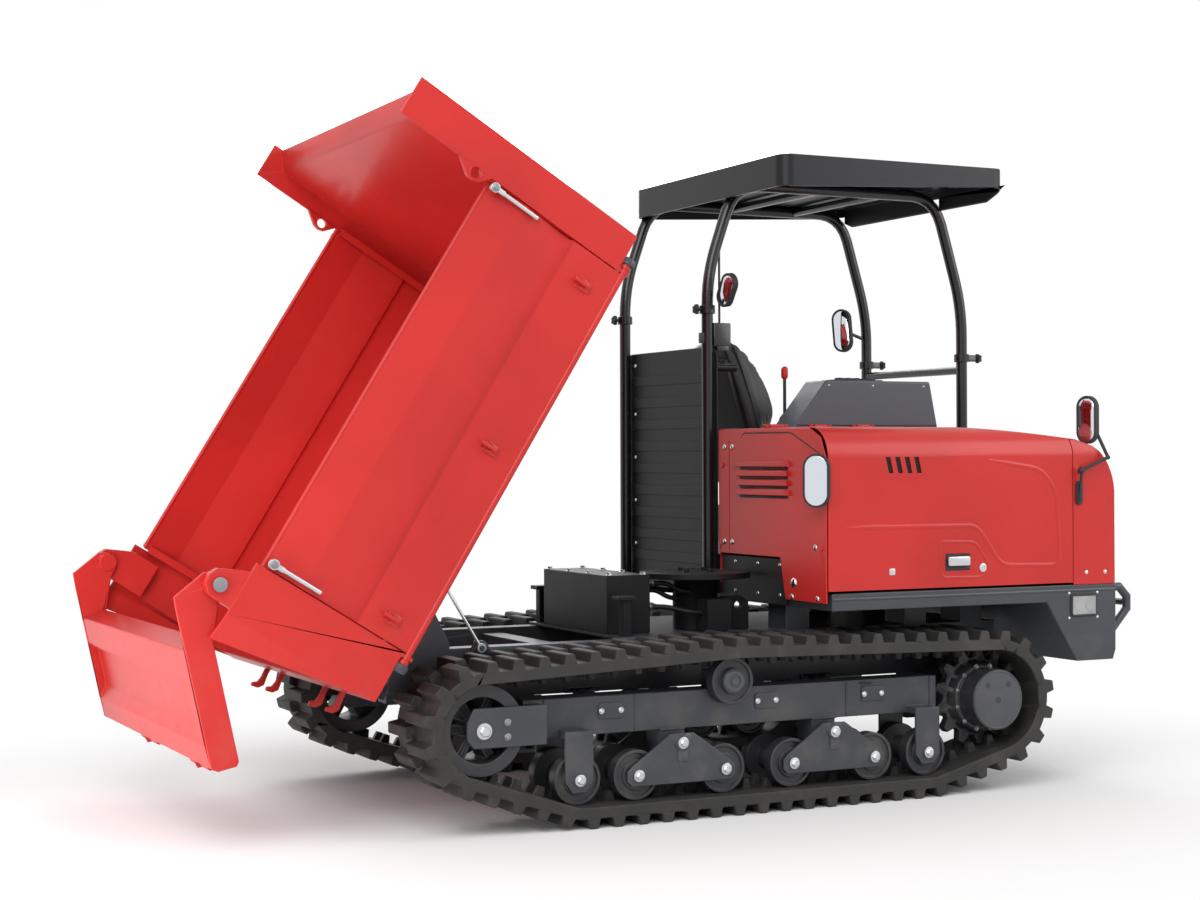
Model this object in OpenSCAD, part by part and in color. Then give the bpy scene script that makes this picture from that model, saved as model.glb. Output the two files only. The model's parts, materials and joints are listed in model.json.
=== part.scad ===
// Tracked power carrier: rubber-track undercarriage, tipping bed with drop sides
// and a swinging tailgate, engine hood on the right, operator station on the left.
// Lengths in millimetres, +X forward, +Y to the machine's left, +Z up.
// Positions along the machine are measured from the drive sprocket axle.

/* [Datum] */
// Drive sprocket axle ahead of the origin
sprocket_x = 1287; // [1200:1:1400]

/* [Tracks] */
// Width of one rubber track
track_w = 350; // [320:1:360]
// Distance between the two track centre lines
track_gauge = 1350; // [1340:1:1420]
// Sprocket axle to idler axle
wheelbase = 2196; // [2150:1:2300]
// Height of the sprocket axle
sprocket_z = 363; // [350:1:375]
// Height of the idler axle
idler_z = 371; // [355:1:385]
// Radius of the belt's inner face on the sprocket
sprocket_r = 197; // [190:1:205]
// Teeth on the sprocket
sprocket_teeth = 13; // [9:1:17]
// Radius of the idler rim
idler_r = 165; // [158:1:172]
// Radius of a bottom roller
roller_r = 92; // [85:1:96]
// Radius of the carrier roller
carrier_r = 88; // [80:1:94]
// Thickness of the belt's carcass
belt_t = 42; // [34:1:48]
// Height of a tread lug
lug_h = 36; // [28:1:44]
// Pitch of the tread lugs
lug_pitch = 100; // [80:1:130]
// Length of a tread lug at its tip
lug_tip = 34; // [24:1:44]
// Height of a guide lug inside the belt
guide_h = 35; // [25:1:38]
// Gap between a wheel and the belt
wheel_gap = 1.5; // [1:0.1:3]

/* [Undercarriage] */
// Front fixed roller behind the sprocket axle
front_roller_back = 311; // [295:1:330]
// Rear fixed roller ahead of the idler axle
rear_roller_ahead = 373; // [360:1:390]
// Front bogie pivot behind the sprocket axle
front_bogie_back = 744; // [730:1:755]
// Rear bogie pivot ahead of the idler axle
rear_bogie_ahead = 792; // [780:1:805]
// Height of the bogie pivots
bogie_z = 280; // [276:1:284]
// Bogie pivot to roller axle
bogie_half = 182; // [176:1:188]
// Carrier roller behind the sprocket axle
carrier_back = 1179; // [1120:1:1240]
// Height of the carrier roller axle
carrier_z = 493; // [488:1:500]
// Bottom of the track beam
beam_z = 321; // [318:1:325]
// Height of the track beam
beam_h = 140; // [125:1:144]
// Width of the track beam
beam_w = 110; // [90:1:114]
// Thickness of the roller and bogie side plates
side_plate_t = 12; // [8:1:16]
// Radius of the roller axles
axle_r = 20; // [16:1:24]
// Radius of the bogie pivot pins
bogie_pin_r = 30; // [26:1:34]

/* [Main frame] */
// Outer face of the long rails from the centre line
rail_out = 430; // [420:1:440]
// Width of a long rail
rail_w = 80; // [65:1:85]
// Bottom of the long rails
rail_z = 440; // [425:1:455]
// Top of the long rails, where the deck lies
deck_z = 628; // [622:1:634]
// Deck plate thickness
deck_t = 12; // [8:1:14]

/* [Tipping bed] */
// Bed pivot behind the sprocket axle
pivot_back = 2328; // [2315:1:2345]
// Height of the bed pivot
pivot_z = 837; // [830:1:850]
// Tilt of the bed as shown
bed_tilt = 58.2; // [56:0.1:60]
// Half width over the bed's side posts
bed_half_w = 850; // [845:1:860]
// Front edge of the bed ahead of the pivot
bed_front = 1478; // [1460:1:1500]
// Rear edge of the bed behind the pivot
bed_rear = 436; // [425:1:450]
// Width of a headboard side strip
strip_w = 150; // [130:1:170]
// Width of a rear post
post_w = 194; // [180:1:205]
// Floor's upper face above the pivot
floor_v = 128; // [122:1:134]
// Top of the drop sides above the pivot
gate_top = 640; // [600:1:645]
// Top of the headboard above the pivot
head_top = 1042; // [980:1:1100]
// Sheet thickness of posts and headboard
sheet_t = 12; // [8:1:14]
// Sheet thickness of a drop side
gate_t = 10; // [6:1:12]
// Radius of the drop side hinge rod
hinge_rod_r = 14; // [11:1:15]
// Radius of the lashing eye hole
eye_r = 20; // [15:1:24]

/* [Tailgate] */
// Tailgate hinge behind the bed pivot
tail_back = 365; // [358:1:372]
// Tailgate hinge above the bed pivot
tail_v = 740; // [732:1:750]
// Lean of the hanging tailgate
tail_lean = 12.2; // [11:0.1:13]
// Tailgate hinge to the plate's lower edge
tail_len = 597; // [580:1:600]
// Front of the tailgate plate behind its hinge
tail_front = 48; // [46:1:56]
// Depth of the tailgate pressing
tail_depth = 96; // [85:1:105]
// Outer face of the tailgate arms from the centre line
tail_half_w = 792; // [780:1:796]

/* [Lift cylinder] */
// Cylinder base ahead of the bed pivot
lift_base_ahead = 73; // [68:1:78]
// Cylinder base below the bed pivot
lift_base_drop = 347; // [343:1:351]
// Rod eye ahead of the bed pivot, along the bed
lift_eye_u = 385; // [380:1:390]
// Rod eye below the bed pivot, across the bed
lift_eye_drop = 54; // [50:1:58]
// Radius of the cylinder barrel
barrel_r = 45; // [40:1:50]
// Radius of the cylinder rod
rod_r = 25; // [20:1:28]

/* [Platform] */
// Bottom of the platform skirt
skirt_z = 739; // [732:1:746]
// Top of the platform floor
floor_z = 806; // [800:1:809]
// Rear edge of the platform behind the sprocket axle
platform_back = 767; // [760:1:770]
// Front face of the bumper ahead of the sprocket axle
bumper_front = 606; // [604:1:616]
// Bottom of the bumper
bumper_z = 496; // [480:1:520]
// Half width of the platform
platform_half_w = 832; // [826:1:834]
// Platform sheet thickness
skirt_t = 10; // [6:1:14]
// Radius of the front guard tube
guard_r = 17; // [13:1:20]
// Front guard ahead of the bumper
guard_reach = 124; // [100:1:135]

/* [Hood] */
// Right face of the hood from the centre line
hood_right = 835; // [834:1:845]
// Hood hinge line right of the centre line
hood_hinge_right = 165; // [160:1:185]
// Underside of the hood
hood_z = 815; // [812:1:830]
// Top of the hood
hood_top = 1445; // [1435:1:1460]
// Rear face of the engine bay behind the sprocket axle
bay_back = 794; // [790:1:800]
// Seam between hood and nose ahead of the sprocket axle
seam_x = 387; // [375:1:395]
// Front of the nose ahead of the sprocket axle
nose_x = 600; // [596:1:603]
// Sheet thickness of hood and nose
hood_t = 5; // [3:1:8]
// Shoulder radius of the hood
shoulder_r = 120; // [90:1:140]
// Gap round the hood
panel_gap = 3; // [2:0.5:5]

/* [Operator station] */
// Outer radius of the canopy tubes
tube_r = 24.3; // [23:0.1:25]
// Right post from the centre line
right_post_y = 62; // [58:1:75]
// Left post from the centre line
left_post_y = 822; // [812:1:824]
// Rear posts behind the sprocket axle
rear_post_back = 806; // [802:1:812]
// Front posts ahead of the sprocket axle
front_post_x = 495; // [480:1:510]
// Depth of the canopy roof's tray
roof_depth = 128; // [118:1:138]
// Top of the canopy roof
roof_top = 2543; // [2538:1:2552]
// Top of the rear guard
guard_top = 1794; // [1750:1:1840]
// Centre of the seat from the centre line
seat_y = 440; // [425:1:455]
// Width of the seat
seat_w = 460; // [430:1:480]
// Top of the seat cushion
seat_z = 1300; // [1280:1:1320]
// Travel of the seat on its runners
seat_travel = 60; // [40:1:70]
// Height of the control console
console_h = 205; // [175:1:235]

/* [Fits] */
// Radial running clearance
run_gap = 0.3; // [0.2:0.05:0.5]
// Face clearance beside a turning part
face_gap = 2; // [1:0.5:3]

/* [Hidden] */
$fn = 64;
track_y = track_gauge / 2;
idler_s = -wheelbase;
roller_z = lug_h + belt_t + wheel_gap + roller_r;
front_roller_s = -front_roller_back;
rear_roller_s = idler_s + rear_roller_ahead;
bogie_s = [idler_s + rear_bogie_ahead, -front_bogie_back];
carrier_s = -carrier_back;
beam_top = beam_z + beam_h;
// Twin wheel rims stand between these distances from the track's centre line
rim_in = 64;
rim_out = 114;
plate_in = rim_out + 6;
plate_out = plate_in + side_plate_t;
guide_in = 28;
guide_out = 58;
sprocket_half = 20;
tooth_h = 38;
hub_drum_r = 118;
hub_out = 160;
spindle_r = 45;
drive_end = -35;

deck_top = deck_z + deck_t;
rail_in = rail_out - rail_w;
frame_rear = -(pivot_back + 92);
deck_rear = -1465;
bracket_t = 20;
pivot_pin_r = 29;

pivot_s = -pivot_back;
bed_in = bed_half_w - sheet_t;
strip_u = bed_front - strip_w;
post_u = -bed_rear + post_w;
post_v = 64;
gate_gap = 4;
gate_u0 = post_u + gate_gap;
gate_u1 = strip_u - gate_gap;
hinge_v = 42;
latch_in = 20;
latch_drop = 20;
hinge_y = bed_half_w - 10;
post_top = gate_top + 30;
sill_top = floor_v - 8;
bed_rail_in = rail_in - 5;
bed_rail_out = rail_out - 15;
bed_rail_v = -40;
rest_z = pivot_z + bed_rail_v - 3;
eye_v = gate_top + 64;
eye_u = strip_u - 18;
lug_thick = 22;

tail_in = tail_half_w - 12;
tail_pin_r = 18;
tail_tab_y = 360;
tail_pin_drop = 655;
hook_shaft_u = -bed_rear + 26;
hook_shaft_v = 46;
hook_pair = 96;

lift_base = [pivot_s + lift_base_ahead, pivot_z - lift_base_drop];
lift_eye = [pivot_s + lift_eye_u * cos(bed_tilt) + lift_eye_drop * sin(bed_tilt),
            pivot_z + lift_eye_u * sin(bed_tilt) - lift_eye_drop * cos(bed_tilt)];
lift_low = [pivot_s + lift_eye_u, pivot_z - lift_eye_drop];
lift_len = norm(lift_eye - lift_base);
lift_short = norm(lift_low - lift_base);
lift_angle = atan2(lift_eye.y - lift_base.y, lift_eye.x - lift_base.x);
lift_pin_r = 16;
lift_slack = 22;
barrel_len = lift_short - 62;
rod_len = lift_short - 77;

bay_s = -bay_back;
wall_s = -platform_back;
guard_s = bumper_front + guard_reach;
bumper_kink = 255;
hood_slope_s = -124;
hood_front_drop = 45;
nose_top_drop = 54;
hinge_line_y = -hood_hinge_right;
post_back_s = -rear_post_back;
roof_z = roof_top - roof_depth;
knee_z = roof_top - 448;
roof_left = 862;
roof_right = -428;
roof_rear = -735;
roof_front = 366;
rear_top_s = -672;
roof_skin = 40;
top_rail_z = roof_top - roof_skin - tube_r - 0.7;
front_top_s = 350;
front_knee_z = roof_top - 549;
handrail_z = 1713;
mirror_ball = 14;
rear_right_ball = [bay_s - 28, -822, 1238];
front_right_ball = [seam_x + 24, -hood_right - 22, 1270];
rear_post_ball = [post_back_s + 62, right_post_y - 52, 2016];
front_left_ball = [front_post_x - tube_r - 100, left_post_y, 1928];
console_z = hood_top;
console_top = console_z + console_h;
lever_z = console_z + 42;
hinge_rise = 10;
console_y0 = -150;
console_y1 = 20;
seat_back_z = 1862;
seat_front_s = 85;
seat_rear_s = -420;
seat_lean = 16.5;
seat_box_z = 1085;
runner_z = seat_box_z + 30;

RED = "#d23c36";
DARK = "#46484c";
BLACK = "#202124";
RUBBER = "#2a2b2c";
STEEL = "#b9bcc0";
SILVER = "#d5d7da";

SIDES = ["right", "left"];
ENDS = ["front", "rear"];

// Axis-aligned box between two corners
module box(lo, hi) {
    translate(lo) cube(hi - lo);
}

// Cylinder along Y between two stations
module ycyl(r, y0, y1) {
    translate([0, y0, 0]) rotate([-90, 0, 0]) cylinder(h = y1 - y0, r = r);
}

// Cylinder along X between two stations
module xcyl(r, x0, x1) {
    translate([x0, 0, 0]) rotate([0, 90, 0]) cylinder(h = x1 - x0, r = r);
}

// Outline drawn in the side view and given a width across the machine
module side_plate(points, y0, y1) {
    translate([0, y1, 0]) rotate([90, 0, 0]) linear_extrude(y1 - y0) polygon(points);
}

// Outline drawn in the end view (across, up) and given a length along the machine
module end_plate(points, x0, x1) {
    translate([x0, 0, 0]) rotate([90, 0, 90]) linear_extrude(x1 - x0) polygon(points);
}

// Straight tube from one point to another
module tube(p, q, r) {
    d = q - p;
    translate(p) rotate([0, acos(d.z / norm(d)), atan2(d.y, d.x)]) cylinder(h = norm(d), r = r);
}

// Bent tube with a ball at each bend
module bent_tube(points, r) {
    for (i = [0:len(points) - 2]) tube(points[i], points[i + 1], r);
    for (i = [1:1:len(points) - 2]) translate(points[i]) sphere(r = r + 0.4);
}

// Corner q of a path from p to w, rounded with radius r in n steps
function bend(p, q, w, r, n) =
    let (a = (q - p) / norm(q - p), b = (w - q) / norm(w - q), turn = atan2(cross(a, b), a * b),
        from = q - a * r * tan(abs(turn) / 2), c = from + sign(turn) * r * [-a.y, a.x],
        start = atan2(from.y - c.y, from.x - c.x))
    [for (k = [0:n]) c + r * [cos(start + turn * k / n), sin(start + turn * k / n)]];

// Arm from a point towards a mirror's ball, ending just short of it
module ball_arm(p, ball, r) {
    d = ball - p;
    tube(p, p + d * (1 - (mirror_ball + run_gap) / norm(d)), r);
}

// Machine frame measured from the sprocket axle
module machine() {
    translate([sprocket_x, 0, 0]) children();
}

// Copy for one side, drawn for the left and mirrored for the right
module for_side(side) {
    mirror([0, side == "right" ? 1 : 0, 0]) children();
}

// Frame of one track: sprocket axle, track centre line, outward is +Y
module on_track(side) {
    machine() for_side(side) translate([0, track_y, 0]) children();
}

// Frame of the tipping bed: pivot, +X along the floor, +Z across it
module on_bed() {
    machine() translate([pivot_s, 0, pivot_z]) rotate([0, -bed_tilt, 0]) children();
}

// Frame of the hanging tailgate: hinge, +X to the front, +Z up the plate
module on_tailgate() {
    on_bed() translate([-tail_back, 0, tail_v]) rotate([0, bed_tilt - tail_lean, 0]) children();
}

// Wheels that carry the belt, as [along, up, radius], in the order it passes them
function belt_wheels(d) = [
    [0, sprocket_z, sprocket_r + d],
    [carrier_s, carrier_z, carrier_r + wheel_gap + d],
    [idler_s, idler_z, idler_r + wheel_gap + d],
    [rear_roller_s, roller_z, roller_r + wheel_gap + d],
    [front_roller_s, roller_z, roller_r + wheel_gap + d]];

// Direction of the straight run's outward normal from wheel a to wheel b
function run_normal(a, b) =
    atan2(b.y - a.y, b.x - a.x) - acos((a[2] - b[2]) / norm([b.x - a.x, b.y - a.y]));

function turned(from, to) = let (d = (to - from) % 360) d < 0 ? d + 360 : d;

function on_wheel(w, angle, extra) = [w.x + (w[2] + extra) * cos(angle), w.y + (w[2] + extra) * sin(angle)];

// Stretches of the belt's path as [length, wheel, first normal, last normal, start, end]
function belt_runs(d) = let (w = belt_wheels(d), n = len(w),
        normals = [for (i = [0:n - 1]) run_normal(w[i], w[(i + 1) % n])])
    [for (i = [0:n - 1]) let (a = normals[(i + n - 1) % n], t = turned(a, normals[i]), b = a + t,
            p = on_wheel(w[i], b, 0), q = on_wheel(w[(i + 1) % n], b, 0))
        each [[w[i][2] * t * PI / 180, w[i], a, b, p, p], [norm(q - p), w[i], b, b, p, q]]];

function run_starts(runs) = [for (i = 0, s = 0; i < len(runs); s = s + runs[i][0], i = i + 1) s];

function run_total(runs) = let (starts = run_starts(runs), i = len(runs) - 1) starts[i] + runs[i][0];

// Point at distance q along the path, moved out by h
function belt_point(runs, starts, q, h) =
    let (total = run_total(runs), m = q % total, at = m < 0 ? m + total : m,
        i = max([for (k = [0:len(starts) - 1]) if (starts[k] <= at) k]),
        run = runs[i], f = (at - starts[i]) / run[0], angle = run[2] + (run[3] - run[2]) * f)
    run[2] == run[3]
        ? run[4] + (run[5] - run[4]) * f + h * [cos(angle), sin(angle)]
        : on_wheel(run[1], angle, h);

// Smooth closed outline of the belt at distance d from its inner face
function belt_outline(d) = [for (run = belt_runs(d)) if (run[2] != run[3])
    let (n = max(1, ceil((run[3] - run[2]) / 9)))
    for (k = [0:n]) on_wheel(run[1], run[2] + (run[3] - run[2]) * k / n, 0)];

outer_runs = belt_runs(belt_t);
outer_starts = run_starts(outer_runs);
lug_count = round(run_total(outer_runs) / lug_pitch);
lug_step = run_total(outer_runs) / lug_count;
inner_runs = belt_runs(0);
inner_starts = run_starts(inner_runs);
guide_step = run_total(inner_runs) / lug_count;

// Outline with a tread lug at every step, shifted along the belt by a share of a step
function tread_outline(share) = [for (i = [0:lug_count - 1], k = [0:3])
    let (reach = k == 0 || k == 3 ? lug_tip * 0.85 : lug_tip / 2, way = k < 2 ? -1 : 1,
        h = k == 0 || k == 3 ? -belt_t / 4 : lug_h)
    belt_point(outer_runs, outer_starts, (i + share) * lug_step + way * reach, h)];

// Outline with a guide lug at every step, pointing into the loop
function guide_outline() = [for (i = [0:lug_count - 1], k = [0:3])
    let (reach = k == 0 || k == 3 ? 22 : 12, way = k < 2 ? -1 : 1,
        h = k == 0 || k == 3 ? belt_t / 4 : -guide_h)
    belt_point(inner_runs, inner_starts, i * guide_step + way * reach, h)];

// Ring between two outlines of the side view, given a width across the track
module belt_ring(outer, inner, y0, y1) {
    translate([0, y1, 0]) rotate([90, 0, 0]) linear_extrude(y1 - y0) difference() {
        polygon(outer);
        polygon(inner);
    }
}

module track_belt(side) color(RUBBER) on_track(side) {
    belt_ring(belt_outline(belt_t), belt_outline(0), -track_w / 2, track_w / 2);
    belt_ring(tread_outline(0), belt_outline(belt_t / 2), -track_w / 2, 6);
    belt_ring(tread_outline(0.5), belt_outline(belt_t / 2), -6, track_w / 2);
    for (way = [-1, 1]) {
        y = way * (guide_in + guide_out) / 2;
        half = (guide_out - guide_in) / 2;
        belt_ring(belt_outline(belt_t / 2), guide_outline(), y - half, y + half);
    }
}

// Twin-rim roller with a bored hub
module twin_roller(r, hub_r) {
    difference() {
        union() {
            for (way = [-1, 1]) {
                ycyl(r, min(way * rim_in, way * rim_out), max(way * rim_in, way * rim_out));
                ycyl(r * 0.6, min(way * rim_in, way * (rim_out + 2)), max(way * rim_in, way * (rim_out + 2)));
            }
            ycyl(hub_r, -rim_in, rim_in);
        }
        ycyl(axle_r + run_gap, -plate_out, plate_out);
        for (way = [-1, 1]) translate([0, way * (rim_out - 8), 0])
            difference() {
                ycyl(r * 0.86, way > 0 ? 0 : -60, way > 0 ? 60 : 0);
                ycyl(r * 0.6, way > 0 ? -1 : -61, way > 0 ? 61 : 1);
            }
    }
}

function roller_s(i) = [rear_roller_s, bogie_s[0] - bogie_half, bogie_s[0] + bogie_half,
    bogie_s[1] - bogie_half, bogie_s[1] + bogie_half, front_roller_s][i];

module roller(i, side) color(BLACK) on_track(side)
    translate([roller_s(i), 0, roller_z]) twin_roller(roller_r, 46);

module carrier_roller(side) color(BLACK) on_track(side) translate([carrier_s, 0, carrier_z])
    difference() {
        union() {
            ycyl(carrier_r, rim_in, rim_out);
            ycyl(carrier_r * 0.55, rim_in, rim_out + 10);
        }
        ycyl(axle_r + run_gap, 0, rim_out + 4);
        translate([0, rim_out - 8, 0]) difference() {
            ycyl(carrier_r * 0.85, 0, 30);
            ycyl(carrier_r * 0.55, -1, 31);
        }
    }

module idler(side) color(BLACK) on_track(side) translate([idler_s, 0, idler_z]) {
    rim_bore = idler_r - 48;
    difference() {
        union() {
            for (way = [-1, 1])
                ycyl(idler_r, min(way * rim_in, way * rim_out), max(way * rim_in, way * rim_out));
            ycyl(idler_r - guide_h - 6, -rim_in, rim_in);
        }
        ycyl(rim_bore, -rim_out - 1, rim_out + 1);
    }
    difference() {
        union() {
            ycyl(46, -rim_out - 3, rim_out + 3);
            for (i = [0:5]) rotate([0, i * 60, 0]) box([0, -50, -18], [rim_bore + 5, 50, 18]);
        }
        ycyl(axle_r + 8 + run_gap, -plate_out, plate_out);
    }
}

module sprocket(side) color(BLACK) on_track(side) translate([0, 0, sprocket_z]) {
    tip = sprocket_r - wheel_gap;
    root = tip - tooth_h;
    step = 360 / sprocket_teeth;
    ring = [for (i = [0:sprocket_teeth - 1], k = [0:3])
        let (share = [-0.34, -0.13, 0.13, 0.34][k], r = k == 0 || k == 3 ? root : tip)
        r * [cos((i + share) * step), sin((i + share) * step)]];
    difference() {
        union() {
            side_plate(ring, -sprocket_half, sprocket_half);
            ycyl(hub_drum_r + 20, -sprocket_half - 10, 70);
            ycyl(hub_drum_r, 60, hub_out);
            ycyl(hub_drum_r + 2, hub_out, hub_out + 8);
            ycyl(14, hub_out, hub_out + 11);
            for (way = [-1, 1]) rotate([0, 40 * way, 0]) translate([0, 0, 78]) ycyl(11, hub_out, hub_out + 12);
        }
        ycyl(spindle_r + run_gap, -sprocket_half - 11, 62);
    }
}

// Triangular bogie with its pivot pin and the axles of its two rollers
module bogie(i, side) color(DARK) on_track(side) translate([bogie_s[i], 0, bogie_z]) {
    drop = roller_z - bogie_z;
    outline = [[-bogie_half - 42, drop - 22], [-bogie_half - 26, drop - 40], [bogie_half + 26, drop - 40],
        [bogie_half + 42, drop - 22], [bogie_half + 42, drop + 14], [bogie_half + 22, drop + 34],
        [48, 34], [-48, 34], [-bogie_half - 22, drop + 34], [-bogie_half - 42, drop + 14]];
    for (y = [-plate_out, plate_in]) side_plate(outline, y, y + side_plate_t);
    ycyl(bogie_pin_r, -plate_out - 8, plate_out + 8);
    for (way = [-1, 1]) translate([way * bogie_half, 0, drop]) {
        ycyl(axle_r, -plate_out - 6, plate_out + 6);
    }
}

// Yoke with two cheeks and the crosspiece that joins them to the beam
module fixed_axle(s, z, top, half, r) {
    for (y = [-plate_out, plate_in]) side_plate([[s - half, top], [s - half, z - 6], [s - half * 0.5, z - 46],
        [s + half * 0.5, z - 46], [s + half, z - 6], [s + half, top]], y, y + side_plate_t);
    translate([s, 0, z]) ycyl(r, -plate_out - 6, plate_out + 6);
}

module track_frame(side) color(DARK) on_track(side) {
    beam_rear = idler_s + idler_r + 20;
    beam_front = -(hub_drum_r + 20) - 80;
    half = beam_w / 2;
    cheek_top = beam_z + 26;
    difference() {
        box([beam_rear, -half, beam_z], [beam_front, half, beam_top]);
        box([beam_rear + 30, -half + 10, beam_z + 10], [beam_front - 30, half - 10, beam_top - 10]);
    }
    // Idler yoke
    for (y = [-plate_out, plate_in]) side_plate([[idler_s - 62, idler_z - 30], [idler_s - 36, idler_z - 62],
        [beam_rear + 60, idler_z - 62], [beam_rear + 60, beam_top - 10], [idler_s - 36, beam_top - 10],
        [idler_s - 62, idler_z + 30]], y, y + side_plate_t);
    translate([idler_s, 0, idler_z]) ycyl(axle_r + 8, -plate_out - 6, plate_out + 6);
    for (way = [-1, 1]) box([beam_rear + 8, way > 0 ? half : -plate_in, beam_z + 12],
        [beam_rear + 60, way > 0 ? plate_in : -half, beam_top - 14]);
    // Fixed roller brackets
    for (s = [rear_roller_s, front_roller_s]) {
        fixed_axle(s, roller_z, cheek_top, 56, axle_r);
        for (way = [-1, 1]) box([s - 50, way > 0 ? half : -plate_in, beam_z],
            [s + 50, way > 0 ? plate_in : -half, cheek_top]);
    }
    // Bogie pivot lugs under the beam
    for (s = bogie_s) difference() {
        box([s - 52, -half, bogie_z - 44], [s + 52, half, beam_z]);
        translate([s, 0, bogie_z]) ycyl(bogie_pin_r + run_gap, -half - 1, half + 1);
    }
    // Carrier roller stub
    box([carrier_s - 44, -half, beam_top], [carrier_s + 44, half, carrier_z + 34]);
    translate([carrier_s, 0, carrier_z]) ycyl(axle_r, half, rim_out + 2);
    // Cross tubes to the main frame
    for (s = [idler_s + 560, bogie_s[1] + 150]) translate([s, 0, beam_z + beam_h / 2])
        ycyl(beam_h / 2 - 10, rail_out - track_y, -half);
    for (s = [idler_s + 560, bogie_s[1] + 150]) box([s - 70, rail_out - track_y, rail_z],
        [s + 70, rail_out - track_y + 14, beam_top]);
}

module main_frame() color(DARK) machine() {
    rail_front = bumper_kink + 40;
    tail_cross = frame_rear + 70;
    for (side = SIDES) for_side(side) {
        difference() {
            box([frame_rear, rail_in, rail_z], [rail_front, rail_out, deck_z]);
            box([frame_rear + 12, rail_in + 10, rail_z + 10], [rail_front - 12, rail_out - 10, deck_z - 10]);
        }
        // Outer and inner bed hinge brackets
        for (y = [rail_out, bed_rail_in - bracket_t - face_gap]) side_plate([
            [frame_rear, y == rail_out ? rail_z + 40 : deck_z], [pivot_s + 150,
                y == rail_out ? rail_z + 40 : deck_z],
            [pivot_s + 150, deck_z + 20], [pivot_s + 46, pivot_z + 20], [pivot_s + 20, pivot_z + 48],
            [pivot_s - 20, pivot_z + 48], [pivot_s - 46, pivot_z + 20], [frame_rear, deck_z + 60]],
            y, y + bracket_t);
        translate([pivot_s, 0, pivot_z]) ycyl(pivot_pin_r, bed_rail_in - bracket_t - face_gap,
            rail_out + bracket_t + 6);
        // Final drive, carrying the sprocket on its spindle
        translate([0, 0, sprocket_z]) {
            ycyl(105, rail_in, track_y + drive_end);
            ycyl(spindle_r, track_y + drive_end - 1, track_y + 58);
        }
        box([-150, rail_in, sprocket_z - 110], [150, rail_out, rail_z]);
        // Pedestals under the platform
        for (s = [wall_s + 40, -160, 120]) box([s, rail_in - 60, deck_top], [s + 110, rail_out,
            floor_z - skirt_t]);
        // Tie-down plates at the tail
        difference() {
            side_plate([[frame_rear - 70, rail_z + 30], [frame_rear, rail_z + 10], [frame_rear, deck_z - 20],
                [frame_rear - 70, deck_z - 60]], rail_in + 26, rail_in + 52);
            translate([frame_rear - 36, 0, rail_z + 78]) ycyl(eye_r, 0, rail_out);
        }
    }
    // Cross members
    box([frame_rear, -rail_in, deck_z - 120], [tail_cross, rail_in, deck_z]);
    for (s = [-1720, -1000, -300, rail_front - 90]) box([s, -rail_in, rail_z + 20], [s + 90, rail_in,
        deck_z - 20]);
    for (side = SIDES) for_side(side)
        box([pivot_s - 30, bed_rail_in - bracket_t - face_gap, deck_z - 60], [pivot_s + 150, rail_in, deck_z]);
    // Cylinder base: cross bar and clevis
    box([lift_base.x - 130, -rail_in, rail_z + 10], [lift_base.x - 62, rail_in, deck_z - 20]);
    for (way = [-1, 1]) side_plate([[lift_base.x - 62, lift_base.y - 40], [lift_base.x + 16, lift_base.y - 34],
        [lift_base.x + 34, lift_base.y - 10], [lift_base.x + 34, lift_base.y + 14], [lift_base.x + 12,
            lift_base.y + 34],
        [lift_base.x - 62, lift_base.y + 60]], way > 0 ? 32 : -50, way > 0 ? 50 : -32);
    translate([lift_base.x, 0, lift_base.y]) ycyl(lift_pin_r, -56, 56);
    // Deck
    box([deck_rear, -rail_out, deck_z], [rail_front, rail_out, deck_top]);
    // Swivel bracket of the bed prop
    side_plate([[pivot_s + 230, rail_z + 60], [pivot_s + 330, rail_z + 60], [pivot_s + 330, deck_z - 20],
        [pivot_s + 290, deck_z + 26], [pivot_s + 252, deck_z + 26], [pivot_s + 230, deck_z - 20]],
        -rail_out - 14, -rail_out);
    translate([pivot_s + 271, 0, deck_z]) ycyl(9, -rail_out - 40, -rail_out - 10);
}

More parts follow.
